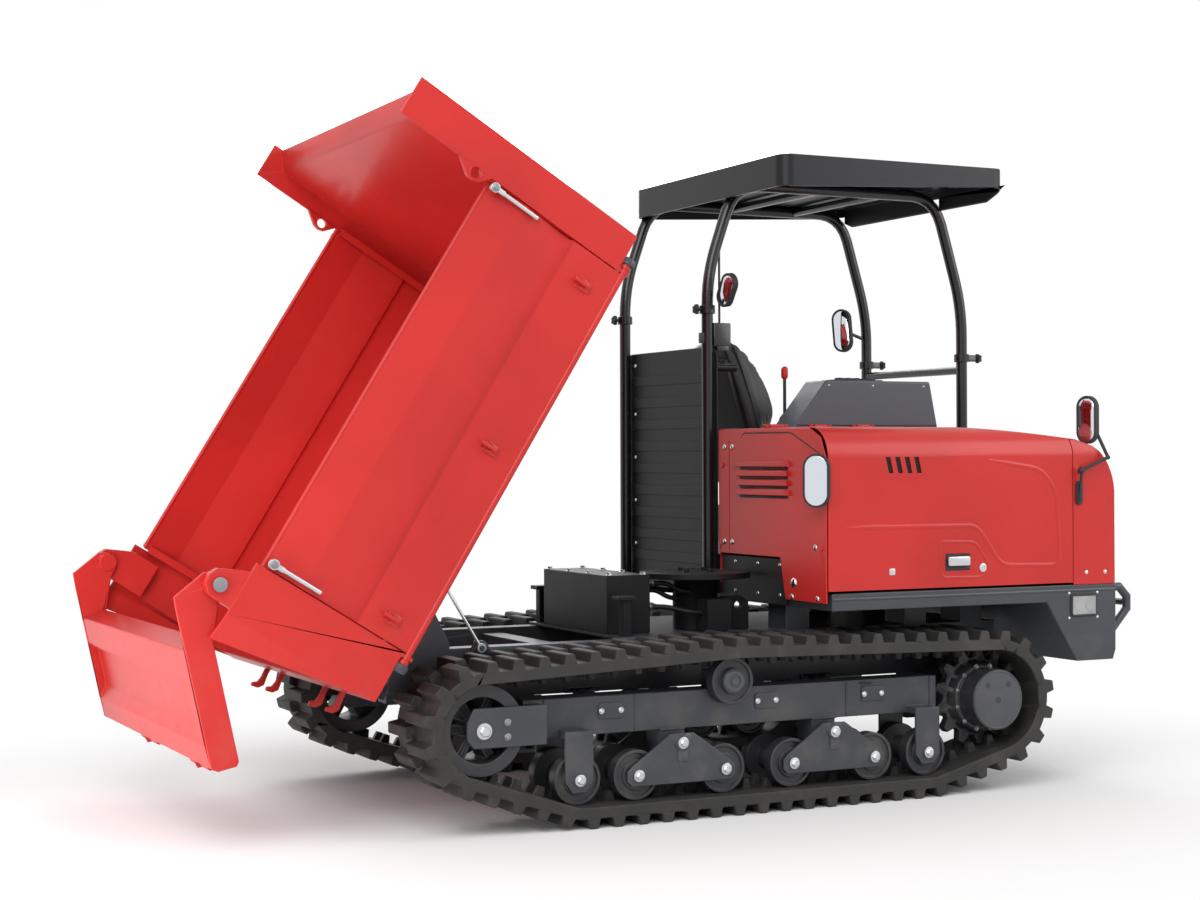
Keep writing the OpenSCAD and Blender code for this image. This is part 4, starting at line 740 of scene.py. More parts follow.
def linked(name: str, data: bpy.types.ID) -> bpy.types.Object:
    """New object in the scene's own collection.

    Args:
        name: Name of the object.
        data: What the object shows.
    Returns:
        The object.
    """
    obj = bpy.data.objects.new(name, data)
    bpy.context.scene.collection.objects.link(obj)
    return obj


def merged(node: str) -> bmesh.types.BMesh:
    """Copy of a CAD node's mesh with its doubles merged.

    Args:
        node: CAD node.
    Returns:
        The mesh to edit.
    """
    bm = bmesh.new()
    bm.from_mesh(frame["nodes"][node].data)
    bmesh.ops.remove_doubles(bm, verts=bm.verts, dist=MERGE)
    return bm


def points_of(mesh: bpy.types.Mesh) -> Array:
    """Vertex positions as an array.

    Args:
        mesh: The mesh.
    Returns:
        Positions as (n, 3).
    """
    flat = np.zeros(3 * len(mesh.vertices), np.float32)
    mesh.vertices.foreach_get("co", flat)
    return flat.reshape(-1, 3).astype(float)


def baked(obj: bpy.types.Object) -> None:
    """Applies every modifier of an object to its mesh.

    Args:
        obj: The object, changed in place.
    """
    bpy.context.view_layer.update()
    shown = obj.evaluated_get(bpy.context.evaluated_depsgraph_get())
    mesh = bpy.data.meshes.new_from_object(shown)
    obj.modifiers.clear()
    obj.data = mesh


@dataclass
class Workshop:
    """Makes the pieces and keeps count of them."""

    bodies: dict[str, str] = field(default_factory=dict)
    count: int = 0

    def __post_init__(self) -> None:
        """Finds each node's body in the record."""
        groups = frame["record"]["behaviour"]["bodies"]
        self.bodies = {node: body for body, nodes in groups.items() for node in nodes}

    def dress(self, obj: bpy.types.Object, finish: Finish, body: str) -> bpy.types.Object:
        """Dresses an object, hangs it on its body and reports it.

        Args:
            obj: The object.
            finish: Its finish.
            body: Body that it rides.
        Returns:
            The same object.
        """
        obj.data.materials.clear()
        obj.data.materials.append(finish.material())
        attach(obj, body)
        self.count += 1
        log.info("%3d %s on %s, %s", self.count, obj.name, body, finish.name)
        return obj

    def piece(self, name: str, shape: Shape | Iterable[Shape], finish: Finish, body: str,
              sharp: float = 34.0) -> bpy.types.Object:
        """Makes a new piece.

        Args:
            name: Piece name.
            shape: One shape or several, in millimetres from the sprocket axle.
            finish: Its finish.
            body: CAD body that it rides.
            sharp: Edges steeper than this angle stay crisp.
        Returns:
            The object.
        """
        whole = shape if isinstance(shape, Shape) else joined(shape)
        mesh = bpy.data.meshes.new(name)
        mesh.from_pydata(((whole.points + SPROCKET_X * X) / MM).tolist(), [],
                         [face for group in whole.faces for face in group.tolist()])
        bm = bmesh.new()
        bm.from_mesh(mesh)
        bmesh.ops.recalc_face_normals(bm, faces=bm.faces)
        bm.to_mesh(mesh)
        bm.free()
        mesh.shade_smooth()
        mesh.set_sharp_from_angle(angle=radians(sharp))
        return self.dress(linked(name, mesh), finish, body)

    def skin(self, node: str, finish: Finish, edge: float = 2.0, segments: int = 2,
             sharp: float = 30.0) -> bpy.types.Object:
        """Covers a CAD node with a copy whose edges are eased.

        The copy is merged by distance and its flat faces are dissolved. Each sharp edge gets a bevel weight of
        0.42 of the shortest edge that meets it over the wished width, at most one, so that small features keep
        their shape.

        Args:
            node: CAD node.
            finish: Its finish.
            edge: Width of the eased edges in millimetres.
            segments: Bevel steps.
            sharp: Edges steeper than this angle are eased.
        Returns:
            The object.
        """
        mesh = self.copied(node)
        mesh.shade_smooth()
        mesh.set_sharp_from_angle(angle=radians(sharp))
        n = len(mesh.edges)
        ends, hard = np.zeros(2 * n, np.int32), np.zeros(n, bool)
        mesh.edges.foreach_get("vertices", ends)
        flag = mesh.attributes.get("sharp_edge")
        if flag is not None:
            flag.data.foreach_get("value", hard)
        spots, ends = points_of(mesh), ends.reshape(-1, 2)
        span = np.linalg.norm(spots[ends[:, 0]] - spots[ends[:, 1]], axis=1)
        least = np.full(len(spots), 1e3)
        np.minimum.at(least, ends.ravel(), np.repeat(span, 2))
        weight = np.where(hard, np.clip(0.42 * least[ends].min(1) / (edge / MM), 0.0, 1.0), 0.0)
        store = mesh.attributes.new("bevel_weight_edge", "FLOAT", "EDGE")
        store.data.foreach_set("value", weight.astype(np.float32))
        obj = linked(node + "_skin", mesh)
        bevel = obj.modifiers.new("eased_edges", "BEVEL")
        bevel.limit_method, bevel.width, bevel.segments = "WEIGHT", edge / MM, segments
        bevel.use_clamp_overlap = False
        flat = obj.modifiers.new("flat_faces", "WEIGHTED_NORMAL")
        flat.keep_sharp, flat.weight = True, 90
        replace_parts(obj, node)
        return self.dress(obj, finish, self.bodies[node])

    @staticmethod
    def copied(node: str) -> bpy.types.Mesh:
        """A CAD node's mesh, copied, merged by distance, with its flat faces dissolved into convex ones.

        Args:
            node: CAD node.
        Returns:
            The mesh.
        """
        bm = merged(node)
        bmesh.ops.dissolve_limit(bm, angle_limit=radians(0.6), verts=bm.verts, edges=bm.edges)
        bmesh.ops.connect_verts_concave(bm, faces=bm.faces)
        mesh = bpy.data.meshes.new(node + "_skin")
        bm.to_mesh(mesh)
        bm.free()
        return mesh


# Sub-assemblies


class Assembly(ABC):
    """A sub-assembly that builds and dresses its own pieces."""

    @abstractmethod
    def build(self, shop: Workshop) -> None:
        """Makes every piece of the sub-assembly."""


@dataclass
class Undercarriage(Assembly):
    """Both tracks with their frames, wheels and fasteners; faces are distances outward of the track's middle."""

    track_y: float = 675.0
    bogies: dict[str, float] = field(default_factory=lambda: {"rear": -1404.0, "front": -744.0})
    bogie_z: float = 280.0
    bogie_half: float = 182.0
    roller_z: float = 171.5
    rollers: int = 6
    fixed_rollers: tuple[float, float] = (-1823.0, -311.0)
    idler: tuple[float, float] = (-2196.0, 371.0)
    keeper: tuple[float, float] = (92.0, 26.0)
    carrier: tuple[float, float, float] = (-1179.0, 124.0, 493.0)
    pivot_face: float = 140.0
    axle_face: float = 138.0
    tab_face: float = 132.0
    tab_drop: float = 46.0
    sprocket_z: float = 363.0
    flange_face: float = 70.0
    flange_ring: float = 128.0
    hub_face: float = 168.0
    hub_rim: float = 112.0
    beam: tuple[float, float] = (321.0, 461.0)
    beam_face: float = 55.0
    covers: tuple[float, ...] = (-1660.0, -1000.0, -520.0)
    cover_lift: float = 14.0
    cover_bolt: tuple[float, float] = (40.0, 6.0)
    weld_spots: tuple[float, ...] = (-1930.0, -1560.0, -640.0, -250.0)
    weld_half: float = 50.0

    def at(self, side: Side, s: float, out: float, z: float) -> Array:
        """Point at a distance outward of the track's centre line."""
        return np.array([s, side.sign * (self.track_y + out), z])

    def build(self, shop: Workshop) -> None:
        """Skins the nodes of both sides and adds fasteners, covers and welds.

        Args:
            shop: Workshop that makes the pieces.
        """
        for side in Side:
            self.skins(shop, side)
            self.bogie_bolts(shop, side)
            self.axle_ends(shop, side)
            self.beam_fittings(shop, side)
            self.hub(shop, side)

    def skins(self, shop: Workshop, side: Side) -> None:
        """Skins of one side.

        Args:
            shop: Workshop that makes the pieces.
            side: Side that is dressed.
        """
        shop.skin(f"track_belt_{side.label}", TREAD, 5.0)
        shop.skin(f"track_frame_{side.label}", CHARCOAL, 3.0)
        shop.skin(f"sprocket_{side.label}", WHEEL_BLACK, 2.5)
        shop.skin(f"idler_{side.label}", WHEEL_BLACK, 4.0)
        shop.skin(f"carrier_roller_{side.label}", WHEEL_BLACK, 3.0)
        for i in range(1, self.rollers + 1):
            shop.skin(f"roller_{i}_{side.label}", WHEEL_BLACK, 3.0)
        for end in self.bogies:
            shop.skin(f"bogie_{end}_{side.label}", CHARCOAL, 2.5)

    def bogie_bolts(self, shop: Workshop, side: Side) -> None:
        """Bolts on the bogies' pivots and axles, with a lock tab under each pivot.

        Args:
            shop: Workshop that makes the pieces.
            side: Side that is dressed.
        """
        for end, s in self.bogies.items():
            body = f"bogie_{end}_{side.label}"
            pins = np.stack([self.at(side, s, self.pivot_face, self.bogie_z),
                             self.at(side, s - self.bogie_half, self.axle_face, self.roller_z),
                             self.at(side, s + self.bogie_half, self.axle_face, self.roller_z)])
            bolts = hex_bolt(30, 15).stamped(pins, side.along, Z)
            shop.piece(f"bogie_bolts_{end}_{side.label}", bolts, ZINC, body)
            spot = self.at(side, s, self.tab_face, self.bogie_z - self.tab_drop)
            tab = plate(rectangle(40, 44, 6), 5, 1.5).stamped(spot, side.along, Z)
            shop.piece(f"bogie_tab_{end}_{side.label}", tab, CASTING, body)

    def axle_ends(self, shop: Workshop, side: Side) -> None:
        """Bolts of the fixed rollers and the idler, the idler's keeper bolts and the carrier roller's cap.

        Args:
            shop: Workshop that makes the pieces.
            side: Side that is dressed.
        """
        s, z = self.idler
        ends = np.stack([self.at(side, x, self.axle_face, self.roller_z) for x in self.fixed_rollers])
        bolts = [hex_bolt(30, 15).stamped(ends, side.along, Z),
                 hex_bolt(40, 18).stamped(self.at(side, s, self.axle_face, z), side.along, Z)]
        shop.piece(f"axle_bolts_{side.label}", bolts, ZINC, "chassis")
        ahead, apart = self.keeper
        spots = np.stack([self.at(side, s + ahead, self.tab_face, z + lift) for lift in (-apart, apart)])
        keeper = hex_bolt(18, 9).stamped(spots, side.along, Z)
        shop.piece(f"idler_keeper_bolts_{side.label}", keeper, STEEL, "chassis")
        cap = turned([(44, -2), (44, 2), (38, 7), (26, 7), (24, 3), (16, 3), (14, 8), (6, 9)], 28)
        cap = cap.stamped(self.at(side, *self.carrier), side.along, Z)
        shop.piece(f"carrier_cap_{side.label}", cap, CASTING, f"carrier_roller_{side.label}")

    def beam_fittings(self, shop: Workshop, side: Side) -> None:
        """Inspection covers and weld beads on the track beam.

        Args:
            shop: Workshop that makes the pieces.
            side: Side that is dressed.
        """
        face, (low, high) = self.beam_face, self.beam
        middle = (low + high) / 2 + self.cover_lift
        spots = np.stack([self.at(side, s, face, middle) for s in self.covers])
        cover = plate(rectangle(104, 58, 14), 6, 2)
        shop.piece(f"beam_covers_{side.label}", cover.stamped(spots, side.along, Z), CHARCOAL, "chassis")
        away, out = self.cover_bolt
        ends = np.stack([out * side.out - away * X, out * side.out + away * X])
        bolts = hex_bolt(15, 8).stamped((spots[:, None] + ends[None]).reshape(-1, 3), side.along, Z)
        shop.piece(f"beam_cover_bolts_{side.label}", bolts, ZINC, "chassis")
        upright = [weld(np.stack([self.at(side, s, face, z) for z in (low + 3, high - 3)]), 4.0)
                   for s in self.weld_spots]
        level = [weld(np.stack([self.at(side, s + x, face, low) for x in (-self.weld_half, self.weld_half)]), 4.5)
                 for s in self.bogies.values()]
        shop.piece(f"beam_welds_{side.label}", upright + level, CHARCOAL, "chassis")

    def hub(self, shop: Workshop, side: Side) -> None:
        """Ring of flange bolts, the cover's rim and the cover's face on the drive sprocket.

        Args:
            shop: Workshop that makes the pieces.
            side: Side that is dressed.
        """
        body = f"sprocket_{side.label}"
        ring = hoop(self.at(side, 0.0, self.flange_face, self.sprocket_z), self.flange_ring, X, Z, 12, 15.0)
        bolts = hex_bolt(14, 9).stamped(ring, side.along, Z)
        shop.piece(f"hub_flange_bolts_{side.label}", bolts, STEEL, body)
        centre = self.at(side, 0.0, self.hub_face, self.sprocket_z)
        rim = carried(circle(4.0, 10), hoop(centre, self.hub_rim, X, Z, 72), Y, True)
        shop.piece(f"hub_cover_rim_{side.label}", rim, CASTING, body)
        cover = turned([(110, -1), (110, 1.6), (106, 2.6), (24, 2.6)], 64)
        shop.piece(f"hub_cover_{side.label}", cover.stamped(centre, side.along, Z), CASTING, body)


@dataclass
class TippingBed(Assembly):
    """Bed, drop sides, tailgate and their small fittings, drawn in the raised bed's frame."""

    pivot: tuple[float, float] = (-2328.0, 837.0)
    tilt: float = 58.2
    half: float = 850.0
    gate_span: tuple[float, float] = (-238.0, 1324.0)
    gate_top: float = 640.0
    lip_inset: float = 33.0
    lip_drop: float = 3.0
    hinge: tuple[float, float] = (840.0, 42.0)
    cap_gap: float = 42.0
    latch_inset: float = 20.0
    latch_out: float = 19.0
    stop_inset: float = 43.0
    stop_gap: float = 4.0
    stop_low: float = 136.0
    stop_profile: tuple[tuple[float, float], ...] = ((-6.0, -1.5), (22.0, -1.5), (22.0, 1.5), (-3.0, 1.5),
                                                     (-3.0, 32.0), (-6.0, 32.0))
    eye: tuple[float, float] = (1310.0, 704.0)
    eye_radius: float = 24.0
    tail_hinge: tuple[float, float] = (-365.0, 740.0)

    @property
    def along(self) -> Array:
        """Direction up the bed floor."""
        return np.array([cos(radians(self.tilt)), 0.0, sin(radians(self.tilt))])

    @property
    def across(self) -> Array:
        """Direction square to the bed floor."""
        return np.array([-sin(radians(self.tilt)), 0.0, cos(radians(self.tilt))])

    def at(self, u: float, y: float, v: float) -> Array:
        """Point of the bed's own frame."""
        return np.array([self.pivot[0], y, self.pivot[1]]) + u * self.along + v * self.across

    def build(self, shop: Workshop) -> None:
        """Skins the bed's nodes and adds its fittings.

        Args:
            shop: Workshop that makes the pieces.
        """
        for node in ("bed", "tailgate", "tailgate_hooks"):
            shop.skin(node, RED, 3.0)
        for side in Side:
            shop.skin(f"side_gate_{side.label}", RED, 3.0)
            for end in ("front", "rear"):
                shop.skin(f"gate_latch_{end}_{side.label}", ZINC, 2.0)
            self.gate_edges(shop, side)
            self.gate_stops(shop, side)
            self.lashing_eye(shop, side)
        self.tailgate_fittings(shop)

    def gate_edges(self, shop: Workshop, side: Side) -> None:
        """Rolled lip, hinge rod ends and latch nuts of one drop side.

        Args:
            shop: Workshop that makes the pieces.
            side: Side that is dressed.
        """
        gate, (u0, u1) = f"side_gate_{side.label}", self.gate_span
        y, v = side.sign * (self.half - self.lip_inset), self.gate_top - self.lip_drop
        lip = np.linspace(self.at(u0 + self.lip_drop, y, v), self.at(u1 - self.lip_drop, y, v), 40)
        shop.piece(f"gate_lip_{side.label}", carried(circle(8.0, 14), lip, Y), RED, gate)
        cap = turned([(21, -2), (26, 2), (26, 20), (22, 27), (8, 29)], 28)
        y, v = side.sign * self.hinge[0], self.hinge[1]
        caps = [cap.moved(self.at(u, y, v), Y, np.cross(way * self.along, Y))
                for u, way in ((u0 - self.cap_gap, -1.0), (u1 + self.cap_gap, 1.0))]
        shop.piece(f"gate_hinge_caps_{side.label}", caps, CHARCOAL, gate)
        y, v = side.sign * (self.half + self.latch_out), self.gate_top - self.latch_inset
        spots = np.stack([self.at(u, y, v) for u in (u0 + self.latch_inset, u1 - self.latch_inset)])
        nuts = hex_bolt(20, 9).stamped(spots, -side.sign * self.along, self.across)
        shop.piece(f"gate_latch_nuts_{side.label}", nuts, STEEL, gate)

    def gate_stops(self, shop: Workshop, side: Side) -> None:
        """Stop strips: an L profile carried up the bed's post, with its long leg behind the end of the gate.

        Args:
            shop: Workshop that makes the pieces.
            side: Side that is dressed.
        """
        u0, u1 = self.gate_span
        y = side.sign * (self.half - self.stop_inset)
        stops = []
        for u, way in ((u0 - self.stop_gap, 1.0), (u1 + self.stop_gap, -1.0)):
            line = np.stack([self.at(u, y, v) for v in (self.stop_low, self.gate_top - self.latch_inset)])
            flat = np.asarray(self.stop_profile) * [way, side.sign]
            stops.append(rings(line[:, None, :] + flat[None, :, :1] * self.along + flat[None, :, 1:] * Y))
        shop.piece(f"gate_stops_{side.label}", stops, RED, "bed")

    def lashing_eye(self, shop: Workshop, side: Side) -> None:
        """Rounded liner of the lashing eye.

        Args:
            shop: Workshop that makes the pieces.
            side: Side that is dressed.
        """
        centre = self.at(self.eye[0], side.sign * self.half, self.eye[1])
        loop = hoop(centre, self.eye_radius, self.along, self.across, 40)
        shop.piece(f"lashing_eye_rim_{side.label}", carried(circle(3.5, 10), loop, Y, True), RED, "bed")

    def tailgate_fittings(self, shop: Workshop) -> None:
        """Nuts and washers on the tailgate's hinge pins.

        Args:
            shop: Workshop that makes the pieces.
        """
        hinge = self.at(self.tail_hinge[0], 0.0, self.tail_hinge[1])
        for side in Side:
            nut = hex_bolt(34, 4).stamped(hinge + (self.half + 2.2) * side.out, side.along, Z)
            shop.piece(f"tailgate_pin_nut_{side.label}", nut, STEEL, "tailgate")


@dataclass
class LiftGear(Assembly):
    """Main frame, hydraulic unit and lift cylinder."""

    base: tuple[float, float] = (-2255.0, 490.0)
    angle: float = 74.77
    barrel_end: float = 366.0
    barrel_side: float = 42.0
    gland: float = 22.5
    ports: tuple[float, float] = (80.0, 330.0)
    pivot: tuple[float, float] = (-2328.0, 837.0)
    pin_end: float = 456.0
    keeper_ring: float = 26.0
    valve_x: float = -1270.0
    mouths: tuple[tuple[float, float], ...] = ((-250.0, 830.0), (-200.0, 800.0), (-150.0, 830.0))
    return_pipe: tuple[tuple[float, float, float], ...] = ((-1270, -270, 740), (-1200, -300, 740),
                                                           (-1130, -370, 720), (-1074, -372, 716))
    block_top: float = 868.0
    block_bolts: tuple[tuple[float, ...], ...] = ((-1435.0, -1285.0), (-270.0, -90.0, 90.0, 280.0))

    def build(self, shop: Workshop) -> None:
        """Skins the nodes and adds gland, ports, pin caps and pipes.

        Args:
            shop: Workshop that makes the pieces.
        """
        shop.skin("main_frame", CHARCOAL, 3.0)
        shop.skin("hydraulic_unit", SATIN_BLACK, 3.0)
        shop.skin("lift_barrel", CHARCOAL, 2.0)
        shop.skin("lift_rod", CHROME, 2.0)
        shop.skin("bed_prop", ZINC, 1.0)
        self.cylinder(shop)
        self.pins(shop)
        self.pipes(shop)

    def cylinder(self, shop: Workshop) -> None:
        """Gland ring round the rod and two ports on the barrel's side.

        Args:
            shop: Workshop that makes the pieces.
        """
        axis = np.array([cos(radians(self.angle)), 0.0, sin(radians(self.angle))])
        side = np.cross(Y, axis)
        foot = np.array([self.base[0], 0.0, self.base[1]])
        loop = hoop(foot + (self.barrel_end + 3) * axis, self.gland, Y, side, 48)
        shop.piece("lift_gland", carried(circle(4.5, 12), loop, axis, True), STEEL, "lift_barrel")
        port = joined([turned([(13, 0), (13, 14), (10, 15), (10, 26)], 20),
                       turned([(14, 20), (14, 34), (11, 37)], 6)])
        spots = np.stack([foot + x * axis + self.barrel_side * Y for x in self.ports])
        shop.piece("lift_ports", port.stamped(spots, axis, side), STEEL, "lift_barrel")

    def pins(self, shop: Workshop) -> None:
        """Caps and keeper bolts on the bed's pivot pins.

        Args:
            shop: Workshop that makes the pieces.
        """
        for side in Side:
            centre = np.array([self.pivot[0], side.sign * self.pin_end, self.pivot[1]])
            cap = turned([(38, -5), (38, 3), (34, 6), (12, 6), (9, 10)], 32).stamped(centre, side.along, Z)
            spots = hoop(centre + 5 * side.out, self.keeper_ring, X, Z, 2, 45.0)
            bolts = hex_bolt(14, 8).stamped(spots, side.along, Z)
            shop.piece(f"bed_pivot_cap_{side.label}", [cap, bolts], STEEL, "chassis")

    def pipes(self, shop: Workshop) -> None:
        """Rigid pipes between the valve blocks, with their nuts, and bolt heads on the tank plate.

        Args:
            shop: Workshop that makes the pieces.
        """
        x = self.valve_x
        runs = [((x, y, z), (x + 100 - 20 * i, y, z), (x + 140 - 20 * i, y - 20, z - 30),
                 (x + 202, y - 20 - 6 * i, z - 40)) for i, (y, z) in enumerate(self.mouths)]
        runs.append(self.return_pipe)
        lines = [thickened(rounded(run, 60, 9, False), 10.0) for run in runs]
        shop.piece("valve_pipes", [carried(circle(10.0, 14), line, Z) for line in lines], SATIN_BLACK, "chassis")
        spots = np.stack([np.asarray(run[0], float) + 8 * X for run in runs])
        nut = turned([(19, -6), (19, 14), (16, 18), (13, 20), (13, 30)], 6)
        shop.piece("valve_pipe_nuts", nut.stamped(spots, Y, Z), ZINC, "chassis")
        heads = np.array([(x, y, self.block_top) for x in self.block_bolts[0] for y in self.block_bolts[1]])
        shop.piece("valve_block_bolts", hex_bolt(20, 10).stamped(heads, X, Y), ZINC, "chassis")


@dataclass
class EngineHood(Assembly):
    """Hood, nose and rear panel with their creases, seams and fasteners; places on a panel are pairs on its face."""

    wall: float = -835.0
    rear: float = -794.0
    crease: tuple[tuple[float, float], ...] = ((-700, 1056), (-91, 1054), (26, 894), (318, 887), (300, 1190),
                                               (225, 1275), (-37, 1314))
    latch_frame: tuple[tuple[float, float], ...] = ((-274, 994), (-103, 991), (-28, 889), (-64, 850), (-266, 854))
    vent: tuple[float, float] = (-430.0, 1296.0)
    paddle: tuple[float, float] = (-186.0, 917.0)
    lock: tuple[float, float] = (-66.0, 888.0)
    blank: tuple[float, float] = (-495.0, 883.0)
    louvre: tuple[float, float] = (-371.0, 1169.5)
    louvre_pitch: float = 38.0
    louvres: int = 4
    bolts: tuple[tuple[float, float], ...] = ((-58, 1371), (-120, 1371), (-58, 981), (-120, 981), (-757, 981),
                                              (-585, 782), (-770, 784))
    knob: tuple[float, float] = (-600.0, 838.0)
    seam: tuple[tuple[float, float], ...] = ((-190, 1404), (-214, 1426), (-580, 1424), (-800, 1336))
    fold: tuple[tuple[float, float], ...] = ((-96, 1396), (-96, 950))
    bracket: tuple[float, float] = (-765.0, 1247.0)
    nose_bolts: tuple[tuple[float, float], ...] = ((452, 855), (548, 855))
    clamp: tuple[float, float] = (412.0, 1178.0)
    stem: tuple[tuple[float, float, float], ...] = ((411.0, -846.0, 1146.0), (411.0, -857.0, 1256.5))

    def build(self, shop: Workshop) -> None:
        """Skins the panels and adds what is pressed into or fixed on them.

        Args:
            shop: Workshop that makes the pieces.
        """
        shop.skin("hood", RED, 2.0)
        shop.skin("nose_cowl", RED, 2.0)
        shop.skin("louvre_panel", RED, 2.5)
        shop.skin("hood_latch", BLACK_PLASTIC, 2.0)
        shop.skin("engine", CASTING, 4.0)
        self.creases(shop)
        self.latch(shop)
        self.rear_panel(shop)
        self.rear_bracket(shop)
        self.nose(shop)

    def on_wall(self, s: float, z: float, out: float = 0.0) -> Array:
        """Point on the hood's right wall."""
        return np.array([s, self.wall - out, z])

    def on_rear(self, y: float, z: float, out: float = 0.0) -> Array:
        """Point on the rear panel."""
        return np.array([self.rear - out, y, z])

    def creases(self, shop: Workshop) -> None:
        """Pressed ridges on the hood's wall and a dark plate behind the vent slots, painted shade that stands in for
        the dark inside of the hood.

        Args:
            shop: Workshop that makes the pieces.
        """
        line = [self.on_wall(s, z) for s, z in self.crease]
        shop.piece("hood_crease", ridge(line, 20.0, 2.6, 46.0, -Y), RED, "hood")
        loop = [self.on_wall(s, z) for s, z in self.latch_frame]
        shop.piece("hood_latch_frame", ridge(loop, 13.0, 2.2, 24.0, -Y, True), RED, "hood")
        # Painted shade: a dark plate just inside the vent slots stands in for the shade inside the hood.
        vent_shade_plate = plate(rectangle(212, 84, 6), 2, 0.6).moved(self.on_wall(*self.vent, -7.4), X, Z)
        shop.piece("hood_vent_painted_shade", vent_shade_plate, SATIN_BLACK, "hood")

    def latch(self, shop: Workshop) -> None:
        """Bright latch paddle, key lock and small blank plate.

        Args:
            shop: Workshop that makes the pieces.
        """
        paddle = plate(rectangle(104, 36, 8), 7, 2.5).moved(self.on_wall(*self.paddle, 6), X, Z)
        shop.piece("hood_latch_paddle", paddle, ZINC, "hood_latch")
        barrel = joined([turned([(17, -1), (17, 3), (14, 5), (9, 5), (8.5, 3.4)], 32),
                         plate(rectangle(3, 12, 1), 4.6, 0.6)])
        shop.piece("hood_key_lock", barrel.moved(self.on_wall(*self.lock), X, Z), ZINC, "hood")
        blank = plate(rectangle(27, 25, 4), 1.6, 0.8).moved(self.on_wall(*self.blank, -0.4), X, Z)
        shop.piece("hood_blank_plate", blank, ZINC, "hood")

    def rear_panel(self, shop: Workshop) -> None:
        """Dark strips set in the louvre mouths as painted shade of their insides, button bolts, the knob, the seam
        and the panel's flange line.

        Args:
            shop: Workshop that makes the pieces.
        """
        y, z = self.louvre
        rows = np.stack([self.on_rear(y, z + self.louvre_pitch * i, -0.2) for i in range(self.louvres)])
        # Painted shade: thin dark strips in the louvre mouths stand in for the shade inside them.
        mouths = plate(rectangle(374, 11, 5), 1.4, 0.5).stamped(rows, -Y, Z)
        shop.piece("louvre_painted_shade", mouths, TRIM_RUBBER, "chassis")
        spots = np.stack([self.on_rear(*spot) for spot in self.bolts])
        shop.piece("rear_panel_bolts", dome_bolt(12).stamped(spots, -Y, Z), ZINC, "chassis")
        knob = dome_bolt(20).stamped(self.on_rear(*self.knob), -Y, Z)
        shop.piece("rear_panel_knob", knob, CHROME, "chassis")
        seam = [self.on_rear(*spot) for spot in self.seam]
        shop.piece("rear_panel_seam", ridge(seam, 6.0, 0.8, 14.0, -X), TRIM_RUBBER, "chassis")
        fold = thickened(np.stack([self.on_rear(*spot) for spot in self.fold]), 20.0)
        shop.piece("rear_panel_fold", carried(bead_profile(9.0, 2.2), fold, -X), RED, "chassis")

    def rear_bracket(self, shop: Workshop) -> None:
        """The rear mirror's bracket plate and its two bolts.

        Args:
            shop: Workshop that makes the pieces.
        """
        y, z = self.bracket
        bracket = plate(rectangle(66, 92, 6), 5, 1.5).moved(self.on_rear(y, z, 21.5), -Y, Z)
        shop.piece("mirror_bracket_rear_right", bracket, SATIN_BLACK, "chassis")
        spots = np.stack([self.on_rear(y - 15, z + lift, 26.5) for lift in (-28.0, 28.0)])
        shop.piece("mirror_bracket_bolts", dome_bolt(9).stamped(spots, -Y, Z), ZINC, "chassis")

    def nose(self, shop: Workshop) -> None:
        """Nose bolts and the front mirror's clamp with its upright.

        Args:
            shop: Workshop that makes the pieces.
        """
        spots = np.stack([self.on_wall(*spot) for spot in self.nose_bolts])
        shop.piece("nose_bolts", dome_bolt(9).stamped(spots, X, Z), ZINC, "chassis")
        clamp = plate(stadium(30, 96), 12, 3).moved(self.on_wall(*self.clamp), X, Z)
        stem = carried(circle(6.0, 12), np.linspace(*self.stem, 8), Y)
        shop.piece("mirror_clamp_front_right", [clamp, stem], BLACK_PLASTIC, "chassis")


